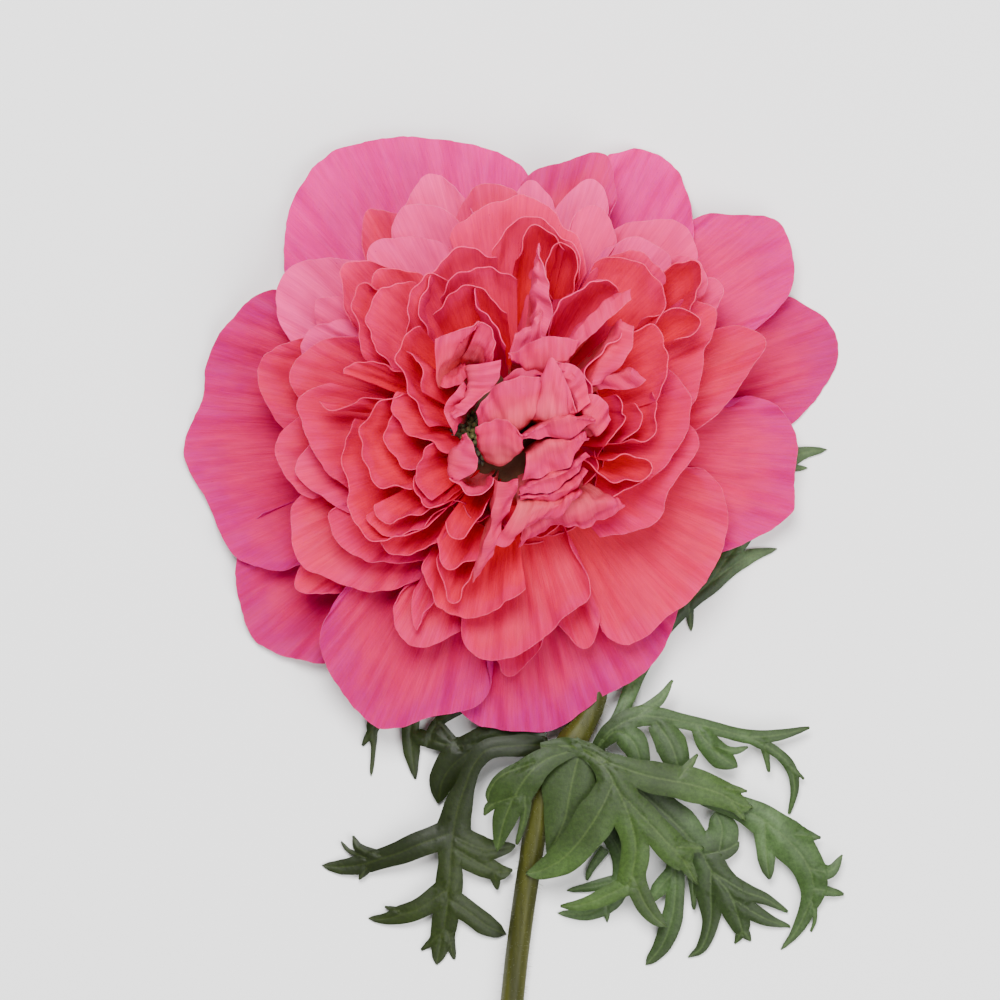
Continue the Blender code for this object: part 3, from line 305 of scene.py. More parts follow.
def ruffle(points, u, v, width, length, wave, crumple, ragged, curl, chance):
    """Wave and crumple a petal's blade, curl its rim and make the rim ragged."""
    normals = surface_normals(points)
    across = (u * width)[None, :]
    down = (v * length)[:, None]
    height = np.zeros(points.shape[:2])
    for size, strength in WAVES:
        turn = chance.uniform(-WAVE_TURN, WAVE_TURN)
        stretch = chance.uniform(*WAVE_STRETCH)
        beat = np.sin(TWO_PI * ((across + turn * down) / (size * stretch) + chance.uniform()))
        height += wave * strength * beat * (v ** 2)[:, None]
    for size in CRUMPLES:
        turn = chance.uniform(-1, 1)
        beat = np.sin(TWO_PI * ((turn * across + down) / size + chance.uniform()))
        beat *= np.sin(TWO_PI * ((across - turn * down) / (size * CRUMPLE_STRETCH)
                                 + chance.uniform()))
        height += crumple * size / CRUMPLES[0] * beat * v[:, None]
    height += curl * np.clip((v - CURL_START) / (1 - CURL_START), 0, 1)[:, None] ** 2
    points = points + normals * height[:, :, None]
    outward = unit(points[-1] - points[-4])
    shift = np.zeros(len(u))
    for size, strength in RAGS:
        spots = max(3, int(width / size))
        shift += strength * np.interp(u * spots, np.arange(spots + 1),
                                      chance.uniform(-1, 1, spots + 1))
    shift = ragged * (shift - shift.mean())
    for row, share in RAGGED_ROWS:
        points[row] += outward * (shift * share)[:, None]
    return points


def rim_distance(points, u, v):
    """Return how far each point is from the petal's free edge, in millimetres."""
    steps = np.linalg.norm(np.diff(points, axis=0), axis=2)
    from_root = np.concatenate([np.zeros((1, len(u))), np.cumsum(steps, axis=0)])
    to_rim = from_root[-1] - from_root
    steps = np.linalg.norm(np.diff(points, axis=1), axis=2)
    from_side = np.concatenate([np.zeros((len(v), 1)), np.cumsum(steps, axis=1)], axis=1)
    to_side = np.minimum(from_side, from_side[:, -1:] - from_side)
    return to_rim, np.minimum(to_rim, to_side + ROOT_MARGIN * (1 - v)[:, None])


print("petal shapes ready")

# %% One petal as a mesh, and a round of them as one piece
PETAL_WALL = 0.15
LOWEST = 0.35
GRAIN_SCALE = 0.1
GRAIN_SHIFT = 20

# A petal's tone runs from -1, darkest, to 1, palest. Most of it is painted light and shade from
# the petal's place: petals on the side that faces the key light are painted paler, the others
# darker. The rest is a tone that differs at random, from chance.
TONE_SLOPE = 0.25
TONE_REACH = 40
PAINTED_LIGHT_FROM_PLACE = 0.75
TONE_FROM_CHANCE = 0.45


def make_petal(shape, record, grid, wave, crumple, ragged, curl, chance):
    """Add one petal: a flat grid, moved point by point, with Solidify for its thickness."""
    across, along = (max(6, int(count * DETAIL)) for count in grid)
    bpy.ops.mesh.primitive_grid_add(x_subdivisions=across, y_subdivisions=along, size=1)
    petal = name_piece("petal")
    flat = read_points(petal)
    column = np.rint((flat[:, 0] + 0.5) * across).astype(int)
    row = np.rint((flat[:, 1] + 0.5) * along).astype(int)
    points, u, v, width, length = shape(record, across, along)
    points = ruffle(points, u, v, width, length, wave, crumple, ragged, curl, chance)
    points[:, :, 2] = np.maximum(points[:, :, 2], LOWEST)
    to_rim, to_edge = rim_distance(points, u, v)
    write_points(petal, in_metres(points[row, column]))
    write_values(petal, "to_rim", to_rim[row, column])
    write_values(petal, "to_edge", to_edge[row, column])
    write_values(petal, "along", v[row])
    # Painted light: sunny is high for rims up and to the left, towards the key light, so those
    # petals are painted paler.
    sunny = (points[-1, :, 1] - TONE_SLOPE * points[-1, :, 0]).mean() / TONE_REACH
    light_and_tone = PAINTED_LIGHT_FROM_PLACE * sunny + TONE_FROM_CHANCE * chance.uniform(-1, 1)
    light_and_tone = min(max(light_and_tone, -1), 1)
    write_values(petal, "light_and_tone", np.full(len(flat), light_and_tone))
    grain = petal.data.uv_layers.active.data
    corners = np.empty(len(petal.data.loops), dtype=int)
    petal.data.loops.foreach_get("vertex_index", corners)
    lie = np.stack([(u[column] - 0.5) * width, v[row] * length], axis=1) * GRAIN_SCALE
    lie += chance.uniform(0, GRAIN_SHIFT, 2)
    grain.foreach_set("uv", lie[corners].ravel())
    add_wall(petal, PETAL_WALL)
    return petal


def make_round(name, shape, records, seed, grid, wave, crumple, ragged, curls):
    """Make a round of petals and join them into one piece."""
    chance = np.random.default_rng(seed)
    piece = join_pieces(name, [
        make_petal(shape, record, grid, wave, crumple, ragged, chance.uniform(*curls), chance)
        for record in records])
    bpy.ops.object.shade_smooth_by_angle(angle=SHARP_ANGLE)
    print(name, len(records), "petals,", triangle_count(piece), "triangles")
    return piece


# %% [markdown]
# ## The petals, one by one
# Each petal was read off the photograph as it is seen from above. A record holds the height of
# its rim at the start, the middle and the end, how steeply the blade rises where it meets the
# rim, in degrees, and points (x, y) along the rim. The folded petals over the middle show a face
# between a fold and a rim, so theirs hold points (x, y, z) along both. The real ones differ so
# much that no simple rule gives them.

# %% The rims of the petals
GUARD_TEPALS = [
    ((10, 4, 12), -4, [(-31, 15), (-34, 23.5), (-33.5, 33), (-28, 42), (-19, 45), (-6, 44),
                       (2.5, 39.2), (1, 31)]),
    ((13, 10, 13), -2, [(0.5, 34), (2.6, 39), (8, 41), (13.5, 42.3), (15.2, 40), (15.5, 33)]),
    ((9, 0.5, 9), -3, [(12.5, 35), (13.5, 41.5), (17.3, 43.2), (21, 42.9), (25.5, 39.8), (27.5, 35),
                       (28.5, 29)]),
    ((6, 5, 7), -3, [(26, 31), (29, 33.3), (34, 33.4), (40, 32.2), (42.5, 27), (42.3, 21.5),
                     (38, 16)]),
    ((4, 0.4, 3), -2, [(36, 22.5), (43, 20.5), (48, 17), (49.6, 12.6), (47.6, 7.5), (42.3, 1.5),
                       (36, -1)]),
    ((8, 5, 8), -4, [(28, -20), (36, -16.2), (42, -12), (42.8, -6), (42.6, 1), (38, 5.6), (30, 5)]),
    ((8, 7, 9), -4, [(-11, -37), (-6, -43.2), (1.5, -44.8), (7, -44.3), (12, -40.8), (18.5, -36.8),
                     (23.5, -31.5), (27, -21)]),
    ((12, 8.5, 12), -4, [(-25, -22), (-28.4, -29.5), (-26.5, -36.5), (-19.8, -44), (-12, -42.5),
                         (-4.5, -40.5), (-2.7, -35), (-3, -30)]),
    ((4, 0.8, 6), -3, [(-39.5, -12), (-41.5, -19), (-40.5, -26), (-37.5, -31.5), (-28, -34.6),
                       (-22, -32)]),
    ((10, 1.5, 9), -3, [(-31, 21.5), (-38, 21), (-44.5, 14.5), (-46.5, 6), (-49.3, -2.3),
                        (-46.5, -9), (-42, -17.6), (-37, -20), (-30, -20)]),
]

# The broad petals of the second round, which lie nearly flat on the guard tepals.
OUTER_PETALS = [
    ((13, 14, 17), 12, [(-33, 13), (-35, 19.5), (-33.8, 24), (-30, 26), (-22, 26.5)]),
    ((15, 17, 18), 12, [(-29, 15), (-28.9, 20), (-25, 21)]),
    ((14, 14, 17), 12, [(-34, 0), (-37.6, 7), (-37.2, 11.6), (-35, 13.3), (-29, 15.4)]),
    ((17, 18, 19), 12, [(-30, 9), (-31, 13.5), (-29, 16.2), (-24, 17.4)]),
    ((20, 20, 22), 20, [(-30, 4), (-32.7, 8), (-31, 11.8), (-27, 13.6), (-23, 15)]),
    ((15, 17, 17), 12, [(-30, 4), (-34.5, -0.3), (-34.8, -4.5), (-31, -10)]),
    ((19, 20, 20), 20, [(-29, 0), (-32, -5), (-28, -9.8), (-23, -12.5)]),
    ((23, 24, 23), 30, [(-28, 8), (-31.3, 4.5), (-29.4, -2.3), (-24, -8.5)]),
    ((16, 15, 17), 12, [(-30, -7), (-32.8, -11), (-32, -19), (-27, -21.8), (-20, -23.6),
                        (-14, -22.5)]),
    ((20, 20, 21), 20, [(-25, -9.5), (-27.4, -12.2), (-24, -18), (-16, -19.5), (-10, -18.6)]),
    ((9, 10, 10), 12, [(-31, -18), (-32.2, -23.5), (-24, -24)]),
    ((16, 17, 17), 20, [(-13.5, -21), (-17.4, -26.3), (-15, -31.3), (-10.5, -30.8), (-3.5, -26.3)]),
    ((18, 19, 20), 20, [(-15, -24.5), (-13.8, -29.4), (-11, -24.5)]),
    ((18, 19, 20), 20, [(-8, -27), (-6.8, -31.8), (-2, -33.9), (3.5, -31.8), (9.5, -26.3),
                        (12.3, -23), (10.5, -17.5)]),
    ((13, 12, 13), 12, [(-3, -32.5), (0, -36.3), (5.5, -31)]),
    ((14, 14, 14), 12, [(6, -27.5), (11.3, -32), (14, -28)]),
    ((14, 13, 14), 12, [(24, -4.5), (30.5, -6.6), (32.6, -12.5), (31, -19.5), (25.5, -25.8),
                        (17, -31.4), (11.5, -26)]),
    ((22, 22, 22), 20, [(26, 3), (28.2, -1), (24, -8), (21.5, -13.2), (14, -16)]),
    ((26, 26, 26), 30, [(22.5, 11), (26.6, 5.5), (25.3, -1), (21.5, -7)]),
    ((21, 21, 22), 20, [(26.5, 21), (30.9, 18.3), (29, 12.5), (28.5, 7.5), (25.5, 2)]),
    ((14, 14, 16), 12, [(29, 15.8), (34.5, 16.5), (38.2, 13.6), (35.5, 8.5), (29, 0.5)]),
    ((16, 16, 18), 20, [(14, 29.5), (18, 31.6), (25.5, 31.7), (28.5, 26.5)]),
    ((20, 20, 21), 20, [(13.5, 27), (19, 29.5), (24.9, 26)]),
    ((24, 24, 24), 30, [(12.5, 25.5), (19, 27.3), (24, 23.5)]),
    ((19, 19, 20), 20, [(24.5, 27), (28.3, 25.7), (29.9, 22)]),
    ((18, 18, 19), 20, [(29, 23.8), (31.6, 22), (31, 18.5)]),
    ((16, 15, 16), 12, [(-18, 30), (-15, 36), (-12.3, 39.2), (-8.5, 37.5), (-4.5, 33)]),
    ((19, 19, 20), 20, [(-18, 28.5), (-16.5, 34), (-12.5, 34.6), (-8, 33.3)]),
    ((13, 13, 15), 12, [(-22.5, 26.5), (-21.8, 33), (-19.5, 33.8), (-15, 33)]),
    ((21, 21, 22), 20, [(-21.3, 24), (-20.3, 27.8), (-16, 29.4), (-10, 29)]),
    ((16, 16, 16), 12, [(-9, 31.5), (-6, 36.2), (-3, 37.6), (1, 36.6), (3.5, 33)]),
    ((13, 13, 13), 12, [(-0.5, 34), (3, 38.3), (7, 35)]),
    ((15, 15, 15), 12, [(6.5, 33.5), (11.3, 38), (13.8, 36.5), (15, 32)]),
    ((20, 20, 20), 20, [(8.6, 28), (10.5, 33.3), (13, 34.2), (15.3, 30), (14, 26)]),
]

# The ruffled petals between, standing side by side round the heart.
RUFFLES = [
    ((22, 24, 24), 47, [(-24.5, 17), (-25.8, 24.3), (-21, 26), (-16.5, 24.5)]),
    ((27, 28, 27), 50, [(-22, 11.5), (-23.2, 20), (-21.5, 22.4), (-18.5, 22)]),
    ((26, 27, 27), 52, [(-21.5, 21), (-19.5, 23.9), (-13.5, 24)]),
    ((29, 31, 30), 57, [(-18, 10), (-20.4, 15), (-20.2, 20.5), (-14, 22.5)]),
    ((31, 32, 31), 57, [(-15.5, 14), (-15.8, 19), (-12.8, 23.7), (-9.5, 24)]),
    ((28, 28, 28), 32, [(-25.6, 9.5), (-21, 11.2), (-15, 10)]),
    ((27, 28, 28), 32, [(-29, 5.4), (-25, 4.4), (-20, 6)]),
    ((34, 33, 33), 60, [(-16.5, 6.6), (-20, 5), (-22.6, -1), (-20.5, -7), (-15, -8.8)]),
    ((32, 32, 32), 62, [(-17.2, 5), (-18.4, -0.5), (-15, -4.8), (-12, -4)]),
    ((34, 34, 35), 62, [(-17.2, 6.5), (-15.8, 2), (-12, -0.6), (-9.3, -2.8)]),
    ((27, 28, 30), 52, [(-24.4, 2.5), (-24.9, -4), (-23.5, -12.5), (-19, -16.6), (-9.8, -12)]),
    ((31, 31, 32), 37, [(-21, -11), (-17.5, -13.6), (-11, -11)]),
    ((29, 29, 31), 44, [(-22.2, -12.5), (-18, -14.9), (-11, -12.8)]),
    ((25, 25, 27), 42, [(-20.5, -16), (-15.5, -18.2), (-10.5, -16.4)]),
    ((33, 33, 34), 67, [(-15, -6.5), (-13.6, -10.4), (-10.2, -11)]),
    ((35, 34, 34), 67, [(-11.6, -1.5), (-13.2, -5.5), (-11.8, -10)]),
    ((34, 35, 35), 72, [(-11.5, 1.5), (-15, 6.5), (-16.4, 12), (-13.4, 16.2)]),
    ((35, 37, 36), 67, [(-15.5, 13), (-12.7, 11), (-13.5, 6.5)]),
    ((30, 31, 30), 82, [(-12, 14.3), (-12.3, 21), (-8, 26.6), (-2, 26.2)]),
    ((32, 33, 32), 72, [(-10.6, 20.5), (-5.5, 24.8), (1, 23.2)]),
    ((34, 35, 34), 72, [(-11.7, 18), (-6.5, 21.6), (-0.5, 18.6)]),
    ((35, 35, 35), 72, [(-5.3, 22), (-4, 17.5), (-0.6, 13.4)]),
    ((24, 24, 25), 42, [(-9, 30), (-3, 34), (4, 34.6), (9.5, 29), (11.5, 25)]),
    ((28, 28, 29), 57, [(-3, 28.5), (3, 32.4), (8.5, 29.2), (11, 24)]),
    ((30, 31, 31), 82, [(0.5, 26.5), (4, 31), (8.3, 28)]),
    ((31, 31, 32), 84, [(6, 20), (5.3, 25), (7.5, 29), (10, 26), (9, 21)]),
    ((34, 34.5, 34), 80, [(5.6, 14.5), (6.2, 17.8), (8.3, 20.8), (11.5, 23), (14.6, 23.2),
                          (16.2, 21.3)]),
    ((26, 27, 26), 62, [(12.8, 25.5), (18.5, 26), (22.3, 22), (22.6, 17)]),
    ((24, 25, 24), 82, [(22.5, 22.5), (24.5, 25.4), (27.5, 24.5), (26.3, 18)]),
    ((25, 26, 26), 77, [(20, 16.3), (25.5, 18.4), (28, 16.8), (24.3, 14.6)]),
    ((34, 35, 34), 72, [(17, 17.2), (15.5, 13.5), (11.8, 9.5), (12.2, 5)]),
    ((30, 31, 30), 57, [(18.4, 16), (22, 15.8), (23.3, 9), (22.3, 5)]),
    ((29, 29, 29), 62, [(22, 6.5), (22.2, 1.5), (19.5, -1.4), (14, -1.9)]),
    ((34, 33, 33), 67, [(16.2, 6), (17.8, 2.5), (14.6, -1.7)]),
    ((32, 31, 31), 67, [(18.4, 4.4), (19.4, 2), (17, -1.4)]),
    ((32, 31, 32), 84, [(11.4, -3.3), (15.5, -7), (20.3, -5.2), (18, -3.2), (14.5, -3.9)]),
    ((28, 28, 29), 72, [(20.2, -5.5), (17, -8.8), (11.5, -9.4)]),
    ((33, 32, 33), 62, [(-9.9, -13.5), (-7, -15.5), (-3.2, -11)]),
    ((28, 28, 29), 57, [(-11, -16), (-9, -20.3), (-4, -17.6)]),
    ((25, 23, 25), 42, [(-12.7, -19.5), (-10.5, -25.6), (-4, -26.8), (2, -23.6)]),
    ((27, 26, 28), 57, [(-11.3, -19), (-8.6, -24.8), (-3.8, -17.5)]),
]

# The small folded petals that close over the middle, and the bands beside them.
FOLDED_PETALS = [
    ([(-4.5, 0.8, 35.5), (-1.5, 1.1, 36.5), (1.1, 0.8, 37), (3.2, 2.2, 36.5)],
     [(-4.9, 3.0, 36.5), (-2.2, 6.8, 38.5), (1.1, 8.6, 39), (4.8, 8.6, 38)]),
    ([(-4.7, -2.2, 33.5), (-3.6, -3.9, 33), (-0.8, -4.3, 34), (1.9, -1.9, 35.5)],
     [(-5.1, 1.1, 38), (-2.6, 2.0, 39.2), (-0.4, 2.1, 39.4), (1.8, -0.3, 38.5)]),
    ([(3.2, 2.4, 36), (5.2, 1.9, 36.5), (7.5, 2.2, 36.5), (9.6, 2.8, 35.5)],
     [(4.1, 7.5, 38.5), (6.2, 11.0, 40), (8.6, 6.8, 39), (9.7, 3.2, 37.5)]),
    ([(6.8, 10.3, 37), (8.2, 7.9, 36.3), (9.2, 5.2, 35.6), (9.7, 3.0, 35)],
     [(6.6, 10.9, 38), (9.0, 10.1, 37), (10.6, 8.2, 36.2), (11.9, 5.2, 35)]),
    ([(0.1, 10.5, 35.3), (2.6, 9.3, 35.8), (6.4, 9.5, 36.2), (9.0, 11.2, 36.5)],
     [(-0.1, 11.1, 36.5), (2.6, 13.1, 37.6), (6.0, 14.2, 38), (10.3, 14.0, 37)]),
    ([(-0.9, 6.8, 34.5), (1.1, 7.5, 35), (3.4, 8.2, 35.5), (5.2, 8.6, 35.5)],
     [(-0.9, 8.7, 35.4), (1.1, 9.5, 35.8), (3.4, 9.8, 36), (5.4, 9.5, 36)]),
    ([(-10.8, 7.2, 34), (-9.8, 9.6, 35.2), (-7.5, 12.4, 36.8), (-4.9, 15.8, 38)],
     [(-10.9, 13.9, 37.6), (-9.0, 15.0, 38.6), (-6.0, 15.9, 39), (-4.5, 16.4, 38.6)]),
    ([(-7.5, 10.5, 31), (-6.0, 10.3, 31), (-4.5, 10.1, 31), (-2.6, 9.8, 32)],
     [(-4.5, 16.4, 38.3), (-2.9, 15.5, 38.2), (-2.2, 13.5, 37.6), (-2.1, 11.1, 36.5)]),
    ([(-9.0, 9.8, 30), (-8.1, 10.1, 30), (-7.1, 10.3, 30), (-6.0, 10.3, 30)],
     [(-10.8, 7.4, 33), (-9.6, 6.7, 33.6), (-7.9, 7.1, 33.6), (-6.4, 9.5, 33)]),
    ([(-8.6, 2.8, 34.4), (-7.1, 4.9, 35.6), (-6.4, 7.1, 36.2), (-6.5, 9.9, 36.6)],
     [(-7.9, 2.1, 36.4), (-4.8, 4.9, 37.9), (-2.1, 7.6, 38.4), (-1.5, 10.9, 38.8)]),
    ([(-7.9, 1.7, 33.4), (-7.5, 3.4, 34), (-6.9, 4.9, 34.6), (-6.3, 6.8, 35)],
     [(-8.2, -0.1, 33.6), (-9.4, 2.1, 34.6), (-9.6, 4.2, 35.2), (-6.9, 7.8, 36)]),
    ([(-8.6, -6.2, 34.4), (-9.1, -4.5, 34.6), (-8.4, -2.2, 35), (-7.1, -0.3, 35.6)],
     [(-7.5, -7.0, 35.4), (-5.3, -5.4, 36.4), (-5.2, -3.4, 37.2), (-6.4, 0.2, 37)]),
    ([(-8.2, -7.0, 32.8), (-6.4, -7.9, 32.4), (-4.5, -7.8, 32.4), (-2.9, -6.6, 33.4)],
     [(-9.1, -6.6, 35.4), (-7.1, -8.7, 35), (-4.5, -9.0, 35), (-2.2, -6.7, 36)]),
    ([(1.5, -0.6, 36.3), (4.1, 1.3, 36.9), (7.5, 2.7, 37.4), (12.5, 2.1, 36.9)],
     [(1.9, -0.8, 36.6), (4.9, -0.8, 36.2), (8.4, -0.6, 36.1), (12.5, 1.9, 36.7)]),
    ([(2.4, -3.0, 34.9), (4.9, -1.1, 35.3), (8.2, -0.7, 35.4), (11.2, -0.2, 35.4)],
     [(1.9, -6.9, 34.6), (4.5, -6.2, 34.3), (8.2, -4.9, 34.3), (11.3, -0.4, 35.3)]),
    ([(1.5, -8.2, 33.4), (4.5, -6.4, 33.6), (8.2, -5.1, 33.8), (11.5, -3.0, 34.1)],
     [(1.1, -8.8, 33.3), (4.5, -8.7, 32.9), (8.6, -7.5, 32.9), (11.5, -3.8, 33.9)]),
    ([(1.5, -9.1, 32.3), (5.2, -8.7, 32.3), (9.0, -7.5, 32.5), (11.3, -5.2, 32.9)],
     [(1.5, -10.0, 31.9), (4.9, -10.2, 31.4), (8.6, -9.4, 31.5), (11.5, -6.2, 32.7)]),
    ([(1.1, -10.3, 31.2), (4.1, -10.2, 31.4), (7.5, -9.8, 31.5), (10.5, -8.2, 31.9)],
     [(-2.2, -16.0, 30.2), (-0.6, -16.8, 29.8), (1.5, -14.7, 29.8), (4.5, -13.2, 30.1),
      (7.5, -11.6, 30.8), (10.4, -8.5, 31.7)]),
    ([(1.5, -14.2, 28.2), (4.5, -10.2, 29.6), (9.0, -9.6, 29.6), (13.5, -9.6, 29.2),
      (16.9, -10.4, 28.5)],
     [(1.7, -17.4, 26.8), (3.8, -15.7, 26.8), (7.1, -13.9, 27.1), (11.2, -14.2, 27.1),
      (14.1, -12.8, 27.6), (17.1, -10.9, 28.3)]),
    ([(3.4, 15.8, 33.8), (3.5, 20.8, 35.4), (3.8, 25.1, 36.6), (4.1, 27.8, 38.4)],
     [(4.9, 14.2, 34.4), (6.3, 18.4, 36), (5.8, 22.9, 37.6), (4.3, 27.8, 39)]),
    ([(0.8, 15.0, 34.8), (2.8, 15.5, 35.2), (4.0, 17.1, 35.6), (4.5, 18.4, 35.9)],
     [(-0.1, 11.2, 34.4), (1.5, 12.0, 34.5), (3.8, 13.1, 34.6), (5.1, 14.1, 34.9)]),
    ([(6.9, 12.0, 33.8), (9.4, 14.9, 34.3), (12.8, 18.4, 34.2), (17.5, 21.4, 33.6)],
     [(7.7, 9.8, 34.3), (10.3, 13.1, 34.8), (13.9, 16.6, 34.6), (17.8, 19.9, 33.9)]),
    ([(11.7, 6.8, 32.3), (12.1, 9.8, 32.9), (14.2, 13.1, 33.2), (16.3, 16.5, 33.4)],
     [(13.5, 8.8, 33), (16.3, 10.3, 33.7), (17.9, 13.1, 33.9), (18.3, 15.8, 33.7)]),
    ([(12.3, 7.3, 31.5), (13.1, 8.6, 32), (15.2, 9.1, 32.3), (18.2, 9.3, 32.3)],
     [(13.2, 6.3, 31.8), (15.8, 6.4, 32.2), (18.6, 6.6, 32.3), (20.2, 8.0, 32.4)]),
    ([(9.8, 4.7, 33.8), (10.4, 3.0, 33.8), (11.2, 1.1, 33.6), (12.8, -0.1, 32.9)],
     [(9.8, 5.4, 35), (12.2, 5.9, 35.2), (14.1, 4.5, 34.8), (15.1, 1.9, 33.8)]),
    ([(-2.2, -6.8, 34.8), (-2.7, -10.9, 33), (-3.7, -15.8, 30), (-5.9, -21.9, 26.6)],
     [(1.2, -6.7, 33.4), (0.4, -10.1, 32), (-1.4, -14.2, 30), (-3.2, -19.3, 27.6)]),
]
print("petals drawn:", len(GUARD_TEPALS), len(OUTER_PETALS), len(RUFFLES), len(FOLDED_PETALS))

# %% [markdown]
# ## The rounds of petals
# The ten guard tepals lie widest and lowest, with lilac rims. A second round of broad petals lies
# on them, then come the ruffled petals, which stand side by side and are seen on edge, and last
# the small folded ones that close over the middle. Each round is one piece, with its own finish.
# The guard tepals are the finest grids, because most of each one shows.

# %% Make the four rounds
guard_tepals = make_round("guard_tepals", rising_blade, GUARD_TEPALS, seed=11, grid=(110, 30),
                          wave=0.8, crumple=0.12, ragged=0.30, curls=(-0.8, 0.8))
outer_petals = make_round("outer_petals", rising_blade, OUTER_PETALS, seed=12, grid=(56, 22),
                          wave=0.6, crumple=0.13, ragged=0.28, curls=(-0.7, 0.5))
ruffled_petals = make_round("ruffled_petals", rising_blade, RUFFLES, seed=13, grid=(50, 20),
                            wave=0.7, crumple=0.15, ragged=0.30, curls=(-0.6, 0.6))
folded_petals = make_round("folded_petals", folded_blade, FOLDED_PETALS, seed=14, grid=(50, 32),
                           wave=0.6, crumple=0.42, ragged=0.34, curls=(-0.7, 0.7))

# %% [markdown]
# ## Short petals under the heart
# From above, nothing shows between the broad petals and the heart. From low down on the stem's
# side the receptacle would stand bare there, so short petals close that gap, as they do on the
# plant. The others hide them from above, so a rule places them: four rings round that side,
# each one lower and wider than the last, with small chances in place, height and width.

# %% The short petals
# Each ring is given by its radius, the height of its rims and how steeply its petals stand.
SHORT_RINGS = [(12.8, 27.2, 80), (13.9, 24.0, 76), (15.0, 21.0, 70), (16.2, 18.0, 60)]
SHORT_SECTOR = (-155, 15)
SHORT_IN_RING = 9
SHORT_STAGGER = 10
SHORT_HALF_ANGLE = 14
SHORT_BULGE = 1.0
SHORT_CORNER_DROP = 1.5

chance = np.random.default_rng(21)
short_records = []
for ring, (radius, height, lean) in enumerate(SHORT_RINGS):
    for turn in np.linspace(*SHORT_SECTOR, SHORT_IN_RING):
        turn += SHORT_STAGGER * (ring % 2) + chance.uniform(-4, 4)
        half = SHORT_HALF_ANGLE * chance.uniform(0.85, 1.2)
        top = height + chance.uniform(-0.7, 0.7)
        rim = [(reach * math.cos(math.radians(angle)), reach * math.sin(math.radians(angle)))
               for reach, angle in ((radius, turn - half), (radius + SHORT_BULGE, turn),
                                    (radius, turn + half))]
        short_records.append(((top - SHORT_CORNER_DROP, top, top - SHORT_CORNER_DROP), lean, rim))
short_petals = make_round("short_petals", rising_blade, short_records, seed=15, grid=(24, 12),
                          wave=0.5, crumple=0.12, ragged=0.25, curls=(-0.5, 0.5))

# %% [markdown]
# ## The receptacle and the carpels
# Under the petals is the receptacle, a knob on top of the stem that all of them grow from.
# On it, in the gap between the heart petals, sit the small dark carpels, each with a bent stigma.
# The knob is a sphere whose rings are moved onto a turned profile. One carpel is modelled, and
# its copies follow the spiral that seeds take, a golden angle from one to the next.

# %% The receptacle
# The knob's radius and height, from its top down to the neck.
KNOB_PROFILE = [(0, 26.4), (5, 26.0), (9.5, 24), (12, 20.5), (12, 17), (9, 13.8), (5.4, 12.4),
                (3.9, 11.9), (3.5, 11.3), (0, 11.0)]

bpy.ops.mesh.primitive_uv_sphere_add(segments=48, ring_count=36, radius=1.0)
receptacle = name_piece("receptacle")
points = read_points(receptacle)
down = np.arccos(np.clip(points[:, 2], -1, 1)) / math.pi
profile = along_curve(smooth_curve(KNOB_PROFILE), down)
points[:, :2] = unit(points[:, :2]) * profile[:, :1]
points[:, 2] = profile[:, 1]
write_points(receptacle, in_metres(points))
write_values(receptacle, "down", down)
bpy.ops.object.shade_smooth()
print("receptacle", triangle_count(receptacle), "triangles")

# %% The carpels
CARPELS = 90
CARPEL_CENTRE = Vector((-5.2, -0.6, 24.6))
CARPEL_SPREAD = 3.6
CARPEL_TILT = 1.25
STIGMA_BEND = 0.25
GOLDEN_ANGLE = math.radians(137.508)

bpy.ops.mesh.primitive_cone_add(vertices=7, radius1=0.42, radius2=0.12, depth=2.2)
carpel = name_piece("carpel")
bpy.ops.object.mode_set(mode="EDIT")
bpy.ops.mesh.select_all(action="SELECT")
bpy.ops.mesh.subdivide(number_cuts=1, smoothness=0.6)
bpy.ops.object.mode_set(mode="OBJECT")
shape = read_points(carpel)
shape[:, 0] += STIGMA_BEND * np.clip(shape[:, 2], 0, 1.2) ** 2
copies = []
for number in range(CARPELS):
    angle = number * GOLDEN_ANGLE
    tilt = CARPEL_TILT * math.sqrt((number + 0.5) / CARPELS)
    direction = Vector((math.sin(tilt) * math.cos(angle), math.sin(tilt) * math.sin(angle),
                        math.cos(tilt)))
    turn = np.array(direction.to_track_quat("Z", "X").to_matrix())
    copy = carpel.copy()
    copy.data = carpel.data.copy()
    bpy.context.collection.objects.link(copy)
    write_points(copy, in_metres(shape @ turn.T + CARPEL_CENTRE + direction * CARPEL_SPREAD))
    copies.append(copy)
bpy.data.objects.remove(carpel, do_unlink=True)
carpels = join_pieces("carpels", copies)
bpy.ops.object.shade_smooth()
print("carpels", triangle_count(carpels), "triangles")

# %% [markdown]
# ## The petals' finish
# A petal is satin and a little see-through, so light glows inside it. Fine darker streaks fan
# out from its root, its margin turns a little bluer, and a thin pale line, a painted highlight,
# runs along its edge. Petals on the side towards the key light are painted paler and those away
# from it darker, with a random tone on top. The streaks could be painted by hand; here a
# stretched noise follows each petal's own UV map. `to_rim` and `to_edge`, kept on the points in
# millimetres, place the margin and the painted edge highlight.

# %% Nodes for finishes
def new_finish(name, roughness):
    finish = bpy.data.materials.new(name)
    finish.use_nodes = True
    shader = finish.node_tree.nodes["Principled BSDF"]
    shader.inputs["Roughness"].default_value = roughness
    return finish, finish.node_tree, shader


def soften(shader, gleam, share, colours, depth):
    """Set how much a surface gleams, and how much, in which colours and how deep light sinks in."""
    for name, value in (("Specular IOR Level", gleam), ("Subsurface Weight", share),
                        ("Subsurface Radius", colours), ("Subsurface Scale", depth)):
        shader.inputs[name].default_value = value


def read_value(tree, name):
    """Read a number that is kept on the points of a mesh."""
    node = tree.nodes.new("ShaderNodeAttribute")
    node.attribute_name = name
    return node.outputs["Fac"]


